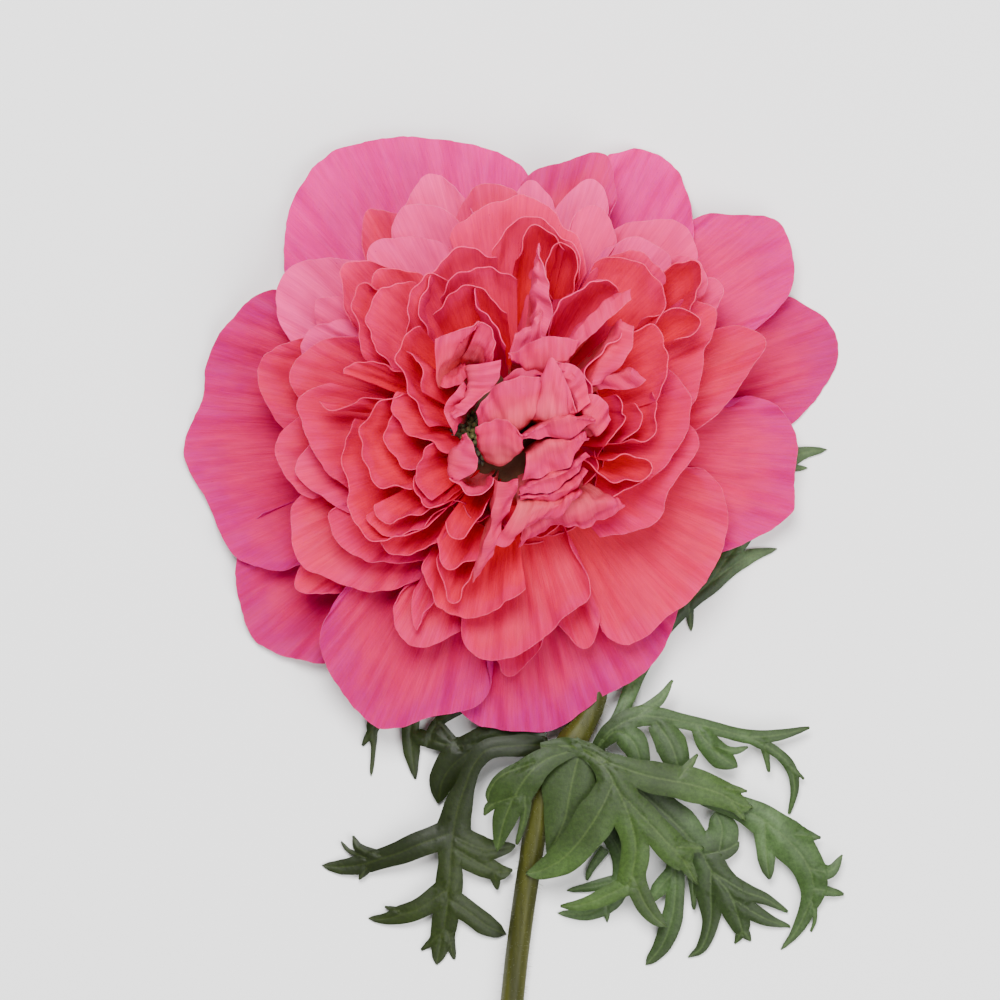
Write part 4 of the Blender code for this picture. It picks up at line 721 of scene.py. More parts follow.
def map_value(tree, value, low, high, at_low, at_high):
    """Turn a value that runs from low to high into one that runs from at_low to at_high."""
    node = tree.nodes.new("ShaderNodeMapRange")
    node.interpolation_type = "SMOOTHSTEP"
    tree.links.new(value, node.inputs["Value"])
    for key, number in (("From Min", low), ("From Max", high),
                        ("To Min", at_low), ("To Max", at_high)):
        node.inputs[key].default_value = number
    return node.outputs["Result"]


def do_math(tree, operation, one, two):
    node = tree.nodes.new("ShaderNodeMath")
    node.operation = operation
    for socket, value in zip(node.inputs, (one, two)):
        if isinstance(value, (int, float)):
            socket.default_value = value
        else:
            tree.links.new(value, socket)
    return node.outputs["Value"]


def mix_colours(tree, share, one, two, blend="MIX"):
    node = tree.nodes.new("ShaderNodeMix")
    node.data_type = "RGBA"
    node.blend_type = blend
    sockets = (node.inputs["Factor"], node.inputs[6], node.inputs[7])
    for socket, value in zip(sockets, (share, one, two)):
        if isinstance(value, (int, float)):
            socket.default_value = value
        elif isinstance(value, tuple):
            socket.default_value = (*value, 1.0)
        else:
            tree.links.new(value, socket)
    return node.outputs[2]


def noise(tree, vector, scale, detail=3.0, roughness=0.55, stretch=(1, 1, 1)):
    mapping = tree.nodes.new("ShaderNodeMapping")
    mapping.inputs["Scale"].default_value = stretch
    tree.links.new(vector, mapping.inputs["Vector"])
    node = tree.nodes.new("ShaderNodeTexNoise")
    node.inputs["Scale"].default_value = scale
    node.inputs["Detail"].default_value = detail
    node.inputs["Roughness"].default_value = roughness
    tree.links.new(mapping.outputs["Vector"], node.inputs["Vector"])
    return node.outputs["Fac"]


def add_bump(tree, shader, height, strength, distance):
    bump = tree.nodes.new("ShaderNodeBump")
    bump.inputs["Strength"].default_value = strength
    bump.inputs["Distance"].default_value = distance
    tree.links.new(height, bump.inputs["Height"])
    tree.links.new(bump.outputs["Normal"], shader.inputs["Normal"])


SPECK_COLOUR = (0.22, 0.01, 0.05)


def petal_finish(name, root, middle, margin, pale_tone_and_light, edge_highlight, margin_width):
    """Make a finish from a petal's colours and the width of its bluer margin, in millimetres."""
    finish, tree, shader = new_finish(name, 0.5)
    grain = tree.nodes.new("ShaderNodeTexCoord").outputs["UV"]
    streaks = noise(tree, grain, 14.0, 3.0, 0.55, (1.0, 0.09, 1.0))
    fine = noise(tree, grain, 42.0, 2.0, 0.5, (1.0, 0.05, 1.0))
    clouds = noise(tree, grain, 1.6, 3.0, 0.55)
    along = map_value(tree, read_value(tree, "along"), 0.35, 0.95, 0.0, 1.0)
    colour = mix_colours(tree, along, root, middle)
    to_rim = do_math(tree, "ADD", read_value(tree, "to_rim"),
                     map_value(tree, clouds, 0.3, 0.7, -2.0, 2.0))
    at_margin = map_value(tree, to_rim, 0.0, margin_width, 1.0, 0.0)
    at_margin = do_math(tree, "MULTIPLY", at_margin, map_value(tree, streaks, 0.3, 0.7, 0.6, 1.0))
    colour = mix_colours(tree, at_margin, colour, margin)
    shade = do_math(tree, "MULTIPLY", map_value(tree, streaks, 0.25, 0.75, 0.90, 1.06),
                    map_value(tree, fine, 0.25, 0.75, 0.93, 1.04))
    shade = do_math(tree, "MULTIPLY", shade, map_value(tree, clouds, 0.25, 0.75, 0.90, 1.06))
    # Painted light and shade: the tone read here darkens petals away from the key light and, below,
    # mixes the pale colour into those that face it, with a random share on top.
    light_and_tone = read_value(tree, "light_and_tone")
    shade = do_math(tree, "MULTIPLY", shade, map_value(tree, light_and_tone, -1.0, 0.6, 0.88, 1.04))
    colour = mix_colours(tree, map_value(tree, light_and_tone, 0.1, 1.0, 0.0, 0.75), colour, pale_tone_and_light)
    colour = mix_colours(tree, 1.0, colour, shade, "MULTIPLY")
    specks = noise(tree, grain, 16.0, 1.0, 0.5)
    colour = mix_colours(tree, map_value(tree, specks, 0.76, 0.80, 0.0, 0.35), colour,
                         SPECK_COLOUR)
    # Painted highlight: a thin pale line along each petal's edges.
    at_edge = map_value(tree, read_value(tree, "to_edge"), 0.0, 0.16, 0.30, 0.0)
    at_edge = do_math(tree, "MULTIPLY", at_edge, map_value(tree, fine, 0.35, 0.65, 0.3, 1.0))
    colour = mix_colours(tree, at_edge, colour, edge_highlight)
    tree.links.new(colour, shader.inputs["Base Color"])
    soften(shader, 0.08, 0.3, (1.0, 0.15, 0.2), 0.001)
    height = do_math(tree, "ADD", streaks, do_math(tree, "MULTIPLY", fine, 0.5))
    add_bump(tree, shader, height, 0.3, 0.0003)
    return finish


guard_finish = petal_finish(
    "guard petal", root=(0.58, 0.0, 0.045), middle=(0.57, 0.0, 0.085), margin=(0.46, 0.0, 0.15),
    pale_tone_and_light=(0.76, 0.0, 0.24), edge_highlight=(0.76, 0.10, 0.25), margin_width=9.0)
outer_finish = petal_finish(
    "broad petal", root=(0.60, 0.0, 0.025), middle=(0.58, 0.0, 0.060), margin=(0.61, 0.0, 0.100),
    pale_tone_and_light=(0.92, 0.05, 0.30), edge_highlight=(0.84, 0.10, 0.20), margin_width=4.0)
ruffle_finish = petal_finish(
    "ruffled petal", root=(0.82, 0.0, 0.010), middle=(0.64, 0.0, 0.05), margin=(0.68, 0.0, 0.09),
    pale_tone_and_light=(0.86, 0.01, 0.17), edge_highlight=(0.84, 0.10, 0.18), margin_width=3.0)
folded_finish = petal_finish(
    "folded petal", root=(0.66, 0.07, 0.10), middle=(0.62, 0.003, 0.080),
    margin=(0.66, 0.010, 0.115), pale_tone_and_light=(0.80, 0.03, 0.18), edge_highlight=(0.86, 0.16, 0.24),
    margin_width=3.0)
print("petal finishes:", [finish.name for finish in
                          (guard_finish, outer_finish, ruffle_finish, folded_finish)])


def finish_piece(piece, finish, slot, *nodes):
    """Give a piece its finish and tie it to the frame."""
    piece.data.materials.clear()
    piece.data.materials.append(finish)
    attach(piece, "root")
    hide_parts(*nodes)


finish_piece(guard_tepals, guard_finish, "petal", "bloom")
finish_piece(outer_petals, outer_finish, "petal", "bloom")
finish_piece(ruffled_petals, ruffle_finish, "petal", "bloom")
finish_piece(short_petals, ruffle_finish, "petal", "bloom")
finish_piece(folded_petals, folded_finish, "petal", "bloom")

# %% [markdown]
# ## How a bract is made
# A bract is a leaf without a stalk, cut again and again into narrow lobes. The photograph gives
# each lobe's rib as a line with a half width at each point. Their outlines are laid on top of one
# another, flat, and a triangulation unites them into one sheet. The sheet then gets its heights
# from the ribs, a groove along each rib, and margins that roll down. This keeps the cuts between
# the lobes sharp, which a remesh would round off.

# %% One leaf sheet
LEAF_WALL = 0.36
OUTLINE_STEPS = 7
WIDTH_WAVE = 0.04
TIP_LENGTH = 1.3
MERGE_DISTANCE = 0.03
INSIDE_SHARES = (-0.82, -0.6, -0.35, -0.15, 0, 0.15, 0.35, 0.6, 0.82)
RIB_BLEND = 0.05
MARGIN_DROP = 0.5
MARGIN_LIFT = 0.6
MARGIN_REACH = 0.9
GROOVE = 0.30
GROOVE_WIDTH = 0.42
BATCH = 500

# The swollen base, as seen, is a little smaller and lower than in the solid part. It counts as
# far from any rib or margin, so that neither is drawn on it.
BASE_SHARE = np.array([0.95, 0.95, 0.7])
BASE_DROP = np.array([0, 0, 0.25])
OFF_RIB = 1.0
OFF_MARGIN = 2.0


def lobe_lines(lobe, chance):
    """Return a lobe's rib, half widths and side directions along it."""
    lobe = np.array(lobe, dtype=float)
    curve = smooth_curve(lobe[:, :3])
    shares = np.linspace(0, 1, OUTLINE_STEPS * (len(lobe) - 1) + 1)
    rib = along_curve(curve, shares)
    steps = np.linalg.norm(np.diff(lobe[:, :3], axis=0), axis=1)
    length = steps.sum()
    places = np.concatenate([[0], np.cumsum(steps)]) / length
    width = np.interp(shares, places, lobe[:, 3])
    waves = 1 + WIDTH_WAVE * np.sin(shares * length * 0.9 + chance.uniform(0, TWO_PI))
    tip = np.clip(1 - (1 - shares) * length / TIP_LENGTH, 0, 1)
    ahead = np.gradient(rib[:, :2], axis=0)
    side = unit(np.stack([-ahead[:, 1], ahead[:, 0]], axis=1))
    return rib, width * waves * np.sqrt(1 - 0.97 * tip ** 2), side


def rim_lines(flat, faces):
    """Return where each straight piece of the sheet's margin starts, and its span."""
    sides = {}
    for face in faces:
        for one, two in zip(face, face[1:] + face[:1]):
            key = (min(one, two), max(one, two))
            sides[key] = sides.get(key, 0) + 1
    rim = np.array([key for key, count in sides.items() if count == 1])
    return flat[rim[:, 0]], flat[rim[:, 1]] - flat[rim[:, 0]]


def line_distance(flat, starts, spans):
    """Return how far each flat point lies from the nearest of many short lines."""
    square = np.maximum((spans ** 2).sum(axis=1), SMALLEST)
    distance = np.empty(len(flat))
    for first in range(0, len(flat), BATCH):
        away = flat[first:first + BATCH, None, :] - starts[None]
        share = np.clip((away * spans[None]).sum(axis=2) / square, 0, 1)
        gap = np.linalg.norm(away - share[:, :, None] * spans[None], axis=2)
        distance[first:first + BATCH] = gap.min(axis=1)
    return distance


def rib_heights(flat, ribs):
    """Return each flat point's height, taken from the ribs round it."""
    height = np.empty(len(flat))
    for first in range(0, len(flat), BATCH):
        part = flat[first:first + BATCH]
        gap = ((part[:, None, :] - ribs[None, :, :2]) ** 2).sum(axis=2)
        weight = 1 / (gap + RIB_BLEND) ** 2
        height[first:first + BATCH] = (weight * ribs[None, :, 2]).sum(axis=1) / weight.sum(axis=1)
    return height


def make_sheet(name, lobes, chance):
    """Unite lobes into one flat sheet, then give it heights, a groove along each rib and a wall."""
    outlines, flat, inside, ribs = [], [], [], []
    for lobe in lobes:
        rib, width, side = lobe_lines(lobe, chance)
        edge = np.vstack([rib[:, :2] + side * width[:, None],
                          (rib[:, :2] - side * width[:, None])[::-1]])
        outlines.append(list(range(len(flat), len(flat) + len(edge))))
        flat.extend(edge)
        for share in INSIDE_SHARES:
            inside.extend(rib[:, :2] + side * (width * share)[:, None])
        ribs.append(rib)
    # The 1 keeps only the triangles that lie inside an outline.
    corners = [Vector(point) for point in flat + inside]
    places, _, faces, _, _, _ = delaunay_2d_cdt(corners, [], outlines, 1, MERGE_DISTANCE)
    used = sorted({index for face in faces for index in face})
    renumber = {old: new for new, old in enumerate(used)}
    flat = np.array([places[index][:] for index in used])
    faces = [tuple(renumber[index] for index in face) for face in faces]
    height = rib_heights(flat, np.vstack(ribs))
    to_rib = line_distance(flat, np.vstack([rib[:-1, :2] for rib in ribs]),
                           np.vstack([np.diff(rib[:, :2], axis=0) for rib in ribs]))
    to_edge = line_distance(flat, *rim_lines(flat, faces))
    rolled = 1 - np.exp(-to_edge / MARGIN_REACH)
    groove = np.exp(-(to_rib / GROOVE_WIDTH) ** 2) * rolled
    height += MARGIN_DROP * (rolled - MARGIN_LIFT) - GROOVE * groove
    sheet = add_mesh(name, np.column_stack([flat, np.maximum(height, LOWEST)]), faces)
    write_values(sheet, "to_rib", to_rib)
    write_values(sheet, "to_edge", to_edge)
    bpy.ops.object.modifier_add(type="SMOOTH")
    smooth = sheet.modifiers[-1]
    smooth.use_x = smooth.use_y = False
    smooth.factor = 0.5
    smooth.iterations = 3
    bpy.ops.object.modifier_apply(modifier=smooth.name)
    add_wall(sheet, LEAF_WALL)
    return sheet


def make_bract(name, centre, radii, sheets, seed):
    """Make a bract: its sheets, and the swollen base that holds them to the collar."""
    chance = np.random.default_rng(seed)
    parts = [make_sheet(f"{name}_sheet", lobes, chance) for lobes in sheets]
    bpy.ops.mesh.primitive_uv_sphere_add(segments=24, ring_count=14, radius=1.0)
    base = name_piece("base")
    write_points(base, in_metres(read_points(base) * radii * BASE_SHARE + centre - BASE_DROP))
    write_values(base, "to_rib", np.full(len(base.data.vertices), OFF_RIB))
    write_values(base, "to_edge", np.full(len(base.data.vertices), OFF_MARGIN))
    bract = join_pieces(name, parts + [base])
    bpy.ops.object.shade_smooth_by_angle(angle=SHARP_ANGLE)
    print(name, len(sheets), "sheets,", triangle_count(bract), "triangles")
    return bract


# %% The ribs of the bracts
# A leaf sheet is a list of lobes, and a lobe is a list of (x, y, height, half width) down its rib.
LEFT_BLADE = [
    [(5.0, -46.6, 6.8, 1.2), (1.5, -46.7, 7.9, 1.6), (-3.2, -47.2, 8.2, 1.5),
     (-5.5, -49.7, 7.6, 1.3), (-6.8, -53, 6.6, 1.4), (-7.8, -56, 5.8, 2.2), (-8.6, -60, 4.8, 2.6),
     (-9, -64.5, 4.2, 1.8), (-9.2, -68.3, 3.4, 2.0), (-9.6, -72, 2.4, 2.0),
     (-10.4, -76.5, 1.2, 1.7), (-11.1, -80, 0.5, 0.5)],
    [(-8.4, -59.8, 4.9, 2.0), (-13.5, -61.6, 4.6, 2.0), (-16.5, -62.9, 3.8, 1.7),
     (-19.5, -63.9, 2.8, 1.6), (-22.5, -64.8, 1.8, 1.4), (-25.5, -65.2, 1.0, 1.2),
     (-28.4, -65, 0.5, 0.3)],
    [(-19.5, -63.4, 2.8, 0.8), (-22.6, -62.4, 2.0, 0.7), (-23.7, -60.5, 1.6, 0.3)],
    [(-21.6, -63.8, 2.0, 0.6), (-24.2, -62.8, 1.3, 0.35), (-25.5, -61.4, 1.1, 0.25)],
    [(-21.6, -65.2, 1.9, 0.9), (-22.8, -67.1, 1.6, 0.3)],
    [(-9.2, -68.3, 3.4, 1.8), (-13.5, -71.3, 2.6, 1.6), (-16.5, -72.4, 1.8, 1.35),
     (-18.8, -73, 1.1, 0.9), (-21.4, -73, 0.5, 0.3)],
    [(-16.4, -72, 1.8, 0.7), (-18.9, -71.2, 1.2, 0.25)],
    [(-9.2, -70, 3.0, 1.8), (-6.3, -71.9, 2.4, 1.7), (-3.8, -73.8, 1.6, 1.6),
     (-1.8, -74.9, 0.9, 1.1), (-0.6, -75.3, 0.5, 0.4)],
    [(-10, -75, 1.6, 1.0), (-13.4, -77.8, 0.7, 0.3)],
    [(-9.4, -75, 1.5, 1.0), (-8.4, -79.2, 0.6, 0.4)],
    [(-8.3, -60.5, 4.8, 2.2), (-4.5, -62.3, 4.0, 1.9), (-1.5, -62.4, 3.2, 1.2),
     (0.8, -61.9, 2.6, 0.5)],
    [(-8, -62.5, 4.5, 2.0), (-3.8, -65, 3.4, 1.8), (-1.5, -65.9, 2.6, 1.2), (0.4, -65.6, 2.2, 0.4)],
    [(-2.4, -65.6, 3.0, 1.0), (-1.9, -68.6, 2.0, 0.4)],
]
LEFT_BACK = [
    [(5.2, -46.0, 6.3, 1.0), (3.4, -45.4, 5.8, 1.8), (0.8, -45.0, 5.2, 2.4), (-3, -45.9, 4.4, 2.5),
     (-8, -49.2, 3.2, 2.8), (-10.2, -52.2, 2.2, 2.1), (-10.8, -55.6, 1.2, 0.4)],
    [(-3, -46, 4.4, 1.4), (-8.5, -46.8, 3.2, 1.2), (-14.6, -45.2, 2.0, 1.2)],
    [(-14.4, -39.5, 2.0, 1.2), (-15, -44, 1.8, 1.35), (-14.8, -48, 1.4, 1.2),
     (-14.3, -51.9, 0.8, 0.3)],
    [(-7.2, -41, 3.2, 0.8), (-11, -43.5, 2.6, 0.8), (-12.6, -47, 2.2, 0.7)],
    [(-7.5, -47.4, 3.2, 0.8), (-11.2, -42.6, 2.4, 0.4)],
    [(-14.4, -40, 2.0, 1.0), (-18, -40, 1.6, 1.3), (-20.6, -43.7, 1.2, 1.0), (-20.6, -47, 0.9, 0.4),
     (-21, -51.5, 0.5, 0.25)],
    [(-20, -43.2, 1.3, 0.8), (-22.3, -46.9, 0.8, 0.35)],
]
FRONT_SMALL = [
    [(10.8, -46.8, 8.6, 0.9), (8.4, -47.7, 9.2, 1.1), (5.7, -48.6, 9.6, 1.7),
     (3.1, -50.6, 9.8, 2.5), (0.8, -54, 9.0, 2.4), (-0.9, -58, 7.8, 1.7), (-1.7, -61.4, 6.6, 0.8),
     (-1.9, -62.6, 6.2, 0.3)],
    [(3.6, -49.2, 9.6, 1.0), (-1.1, -51.1, 9.0, 0.7), (-3, -53.4, 8.2, 0.55),
     (-3.3, -55.2, 7.6, 0.35)],
    [(1, -54.2, 8.9, 1.2), (-2.7, -55.6, 7.8, 0.8), (-3.9, -57.2, 7.4, 0.35)],
    [(2.2, -54.2, 8.9, 1.2), (2.2, -57.4, 8.0, 0.6), (1.0, -61.6, 6.8, 0.35)],
]
FRONT_BACK = [
    [(10.6, -47.3, 8.3, 1.2), (9.8, -50.2, 7.9, 3.0), (9.0, -53.8, 7.5, 4.2),
     (8.3, -57.6, 6.9, 3.4), (6.7, -61.4, 6.3, 1.5), (5.6, -63.4, 6.1, 0.3)],
]
FRONT_BLADE = [
    [(9.4, -46.4, 8.5, 1.2), (11.4, -47.7, 8.8, 1.0), (14.3, -50, 9.6, 1.8), (16.5, -54, 9.8, 2.8),
     (18.3, -58.5, 9.0, 2.4), (18.9, -62.3, 8.0, 2.1), (18.5, -65.3, 7.2, 2.0),
     (17.9, -68, 6.4, 2.2)],
    [(17.9, -67.6, 6.5, 1.6), (13.5, -69.8, 5.6, 1.2), (10.5, -70.8, 4.8, 0.9),
     (7.6, -71, 4.2, 0.3)],
    [(18.5, -66.4, 6.8, 1.8), (20.3, -70.5, 5.4, 1.5), (22, -72.8, 4.6, 1.1),
     (23.5, -74, 4.2, 0.5)],
    [(15.4, -52.4, 9.8, 2.0), (13.4, -56.6, 9.6, 3.0), (10.5, -61, 8.6, 2.8), (7.5, -64, 7.6, 2.3),
     (4.5, -65.6, 6.6, 1.4), (2.4, -66, 6.2, 0.3)],
    [(16.8, -54, 9.8, 2.0), (21.8, -59.3, 8.6, 2.2), (24.8, -62.6, 7.6, 2.2),
     (27, -64.8, 6.6, 1.8)],
    [(26, -63.8, 7.0, 1.2), (28.3, -67.7, 5.6, 0.4)],
    [(25, -62, 7.6, 1.4), (29.2, -62.2, 6.4, 0.4)],
    [(4.6, -46.9, 9.3, 0.7), (8, -46.7, 9.2, 1.2), (11.6, -47.4, 9.0, 1.3), (14.6, -49, 9.4, 1.0)],
    [(12.2, -48.3, 9.0, 1.0), (15.8, -49.6, 9.6, 1.6), (21, -51.3, 9.2, 2.3), (27, -52.5, 8.4, 2.6),
     (31.5, -53.9, 7.4, 2.2), (34.8, -55.7, 6.6, 1.2), (36.5, -56, 6.2, 0.4)],
    [(25.6, -51.4, 8.7, 1.0), (28.2, -48, 8.2, 0.3)],
    [(32.6, -53.2, 7.2, 0.9), (35.7, -53.6, 6.6, 0.3)],
    [(33.4, -55.4, 7.0, 0.9), (35.4, -58, 6.4, 0.3)],
]
RIGHT_UPPER = [
    [(12.9, -47.4, 5.4, 0.9), (15.0, -44.6, 6.4, 1.3), (19.5, -42.3, 6.6, 1.6),
     (25.5, -43, 6.0, 1.2), (30.8, -44.2, 5.4, 1.0), (36, -45.4, 4.6, 1.0), (40.5, -45.2, 3.8, 0.9),
     (45.2, -44.1, 3.0, 0.25)],
    [(19, -42.4, 6.6, 1.2), (22.5, -39.8, 6.2, 0.8), (24.5, -36.9, 5.4, 0.25)],
    [(36, -45.5, 4.6, 0.8), (39.8, -47.5, 3.8, 0.8), (42.3, -50, 2.8, 0.8), (43, -53.3, 1.8, 0.7),
     (42.2, -57.2, 0.8, 0.25)],
    [(38.4, -46.8, 4.1, 0.7), (39.1, -50.8, 3.0, 0.25)],
    [(42.2, -49.8, 2.9, 0.5), (44.4, -51.9, 2.2, 0.2)],
    [(28, -43.6, 5.8, 0.8), (29.5, -46, 5.8, 1.7), (32, -48.6, 5.4, 1.8), (34.3, -50, 4.8, 0.5)],
    [(31, -47, 5.0, 0.8), (33.6, -47.6, 4.6, 0.6), (35.9, -47, 4.2, 0.3)],
    [(13.2, -47.0, 5.6, 0.9), (16, -44.6, 6.6, 1.6), (18.7, -46.4, 6.6, 2.1),
     (19.9, -50.2, 6.5, 1.3)],
    [(22, -43.2, 6.4, 1.4), (24.2, -46.5, 6.5, 2.5), (25.5, -50.4, 6.4, 1.6)],
]
RIGHT_OUTER = [
    [(12.8, -47.7, 5.0, 0.9), (19.5, -51, 5.6, 1.2), (28.5, -54, 5.2, 1.4), (36, -56.8, 4.8, 2.0),
     (41.3, -60.5, 4.6, 3.0), (44.7, -64.5, 3.8, 2.6), (45.8, -68.3, 2.6, 2.0),
     (44.7, -72, 1.6, 1.2), (43, -75.3, 0.9, 0.7), (41, -77.7, 0.5, 0.25)],
    [(43, -60.2, 4.4, 1.6), (46.9, -60.7, 3.4, 0.3)],
    [(45.4, -65.4, 3.6, 1.4), (48.3, -65.8, 2.8, 1.0), (50.2, -63.3, 2.6, 0.25)],
    [(46, -68.4, 2.6, 1.0), (50.4, -69.3, 1.4, 0.45)],
    [(45.6, -70.4, 2.0, 0.7), (46.1, -73, 1.2, 0.35), (45.5, -75, 0.6, 0.2)],
    [(38.4, -58, 4.8, 1.8), (38.7, -63.8, 3.6, 1.4), (39.2, -67, 2.8, 0.5)],
]
RIGHT_LOWER = [
    [(12.6, -48.4, 4.6, 0.9), (16, -51, 4.2, 1.4), (20.4, -54.4, 3.8, 2.4), (25, -58.6, 3.6, 3.0),
     (28.6, -62.6, 3.4, 2.4), (30.5, -66, 3.2, 2.6), (33, -69, 2.8, 2.4), (34.5, -72.8, 1.9, 1.9),
     (35.2, -75.4, 1.1, 1.2)],
    [(35, -75, 1.3, 0.8), (34, -76.8, 0.6, 0.3)],
    [(35.4, -75, 1.3, 0.8), (36.4, -76.4, 0.7, 0.35)],
    [(30.3, -65.4, 3.2, 2.4), (30.3, -69, 2.6, 2.1), (30.3, -73.5, 1.6, 1.3), (29, -77.3, 0.9, 0.8),
     (26.9, -78.9, 0.5, 0.25)],
    [(33.6, -70, 2.6, 1.8), (38.6, -73, 1.6, 1.0), (42.3, -74.2, 0.8, 0.3)],
    [(30.8, -66, 3.2, 1.6), (35.3, -68.8, 2.6, 1.3), (38.6, -70, 2.0, 0.9), (42, -72, 1.0, 0.25)],
    [(29.4, -63.2, 3.4, 1.2), (32.4, -62.6, 3.2, 1.4), (34.6, -61.4, 3.0, 0.8)],
    [(31.6, -62.6, 3.2, 2.4), (32, -59.4, 3.4, 2.4), (31, -56.8, 3.6, 1.2)],
    [(26.6, -61, 3.5, 1.6), (25, -65, 3.2, 1.4), (25, -68.3, 2.8, 1.3), (24.5, -72.8, 1.9, 1.6),
     (23, -77, 1.0, 1.4), (20.6, -80, 0.5, 0.5)],
    [(25, -65.6, 3.1, 1.2), (22.4, -68.6, 2.6, 1.2), (21.2, -70.6, 2.2, 0.4)],
    [(27.6, -66.6, 3.1, 0.8), (27.8, -71.6, 2.0, 0.3)],
]
RIGHT_BACK = [
    [(12.7, -47.8, 4.3, 0.9), (11.9, -50.6, 3.3, 2.0), (10.0, -54.6, 2.7, 3.4),
     (8.9, -58.5, 2.2, 2.6), (7.4, -62.3, 1.6, 0.7)],
    [(11.8, -50.8, 3.4, 1.2), (14, -58, 2.2, 1.4), (17, -64, 1.6, 1.5), (15.8, -69.6, 1.0, 1.5),
     (12, -72.2, 0.7, 1.1), (7.2, -72.2, 0.5, 0.3)],
    [(14.6, -70.8, 0.9, 0.7), (14.7, -73.6, 0.6, 0.25)],
    [(15.6, -67.4, 1.2, 1.0), (12, -68.2, 0.9, 0.7), (8.6, -68.8, 0.6, 0.3)],
    [(14.4, -62.4, 1.7, 0.8), (12.3, -65.4, 1.3, 0.5), (11.6, -67.2, 1.0, 0.4)],
]
UNDER_BLOOM = [
    [(13.2, -47.0, 4.8, 0.9), (16.4, -42.5, 3.6, 1.0), (19.8, -35, 1.9, 1.2), (24, -28, 1.0, 1.4),
     (30, -22.5, 0.8, 1.6), (35.5, -18.6, 0.6, 1.2), (40.4, -17.1, 0.5, 0.3)],
    [(30.4, -22, 0.8, 1.2), (36, -14, 0.7, 1.4), (40, -6.4, 0.6, 1.2), (43.4, -3, 0.6, 1.2),
     (47.9, -2.1, 0.5, 0.3)],
    [(41, -5, 0.6, 0.9), (45, -4.9, 0.5, 0.3)],
    [(27, -25, 0.9, 0.9), (27.4, -29.6, 0.5, 0.3)],
]

# Each bract has a swollen base at the collar, given as its centre and its three radii.
BRACTS = {
    "bract_left": ((4.95, -46.6, 6.2), (0.95, 1.5, 0.9), [LEFT_BLADE, LEFT_BACK]),
    "bract_front": ((10.4, -47.0, 8.8), (1.5, 1.1, 0.6), [FRONT_BLADE, FRONT_SMALL, FRONT_BACK]),
    "bract_right": ((12.9, -48.0, 5.0), (1.15, 1.4, 1.2),
                    [RIGHT_UPPER, RIGHT_OUTER, RIGHT_LOWER, RIGHT_BACK, UNDER_BLOOM]),
}

# %% Make the three bracts
bracts = [make_bract(name + "_leaf", *parts, seed)
          for seed, (name, parts) in enumerate(BRACTS.items(), start=31)]

# %% [markdown]
# ## The leaves' finish
# The leaf is a satin green with a faint bluish bloom. Painted shade comes on top: noise patches of
# a darker olive shadow colour, and the same shadow along the margins. Its ribs are a little paler
# and yellower. A soft grain is pressed into it as bump. `to_rib` and `to_edge` are distances in
# millimetres, so they draw the pale ribs and the painted shade at the margins where they really
# are.

# %% Leaf finish
def leaf_finish(name, green, pale, bloom, shadow):
    """Make a finish from a leaf's green, its ribs' pale green, its bloom and a painted shade
    colour.
    """
    finish, tree, shader = new_finish(name, 0.5)
    place = tree.nodes.new("ShaderNodeTexCoord").outputs["Object"]
    clouds = noise(tree, place, 90.0, 3.0)
    shadow_patches = noise(tree, place, 48.0, 2.0)
    fine_grain = noise(tree, place, 1900.0, 3.0, 0.65)
    colour = mix_colours(tree, map_value(tree, clouds, 0.38, 0.68, 0.0, 0.8), green, bloom)
    # Painted shade: random patches turn towards the shadow colour.
    colour = mix_colours(tree, map_value(tree, shadow_patches, 0.42, 0.60, 0.0, 0.85), colour, shadow)
    rib = map_value(tree, read_value(tree, "to_rib"), 0.0, 0.30, 0.28, 0.0)
    colour = mix_colours(tree, rib, colour, pale)
    # Painted shade: the margins darken towards the shadow colour.
    at_edge = map_value(tree, read_value(tree, "to_edge"), 0.0, 0.5, 0.35, 0.0)
    colour = mix_colours(tree, at_edge, colour, shadow)
    grain = map_value(tree, fine_grain, 0.3, 0.7, 0.82, 1.20)
    colour = mix_colours(tree, 1.0, colour, grain, "MULTIPLY")
    tree.links.new(colour, shader.inputs["Base Color"])
    soften(shader, 0.25, 0.1, (0.4, 0.8, 0.2), 0.0008)
    ripples = noise(tree, place, 260.0, 2.0)
    height = do_math(tree, "ADD", ripples, do_math(tree, "MULTIPLY", fine_grain, 0.4))
    add_bump(tree, shader, height, 0.35, 0.0003)
    return finish


# The left bract's greens are about half as bright as the others' and its shadow darker: painted
# shade, for the bloom's shadow over it.
shaded_left_green = leaf_finish(
    "leaf left", green=(0.013, 0.022, 0.002), pale=(0.034, 0.050, 0.007),
    bloom=(0.024, 0.040, 0.006), shadow=(0.006, 0.010, 0.001))
front_green = leaf_finish(
    "leaf front", green=(0.033, 0.066, 0.011), pale=(0.085, 0.130, 0.032),
    bloom=(0.070, 0.124, 0.034), shadow=(0.014, 0.028, 0.003))
right_green = leaf_finish(
    "leaf right", green=(0.029, 0.060, 0.013), pale=(0.085, 0.135, 0.040),
    bloom=(0.084, 0.145, 0.052), shadow=(0.010, 0.020, 0.002))
for bract, green, node in zip(bracts, (shaded_left_green, front_green, right_green), BRACTS):
    finish_piece(bract, green, "leaf", node)
print("bracts finished")

# %% [markdown]
# ## The stem
# The scape is a slender round stalk. It leaves the receptacle straight down, curls over and lies
# along the table, and it swells a little at the collar where the bracts sit. A curve with a bevel
# would do, but here a cylinder is cut into rings in edit mode and each ring is moved onto the
# stem's route, so that its thickness, its fine ridges and its cut end can vary along the way.

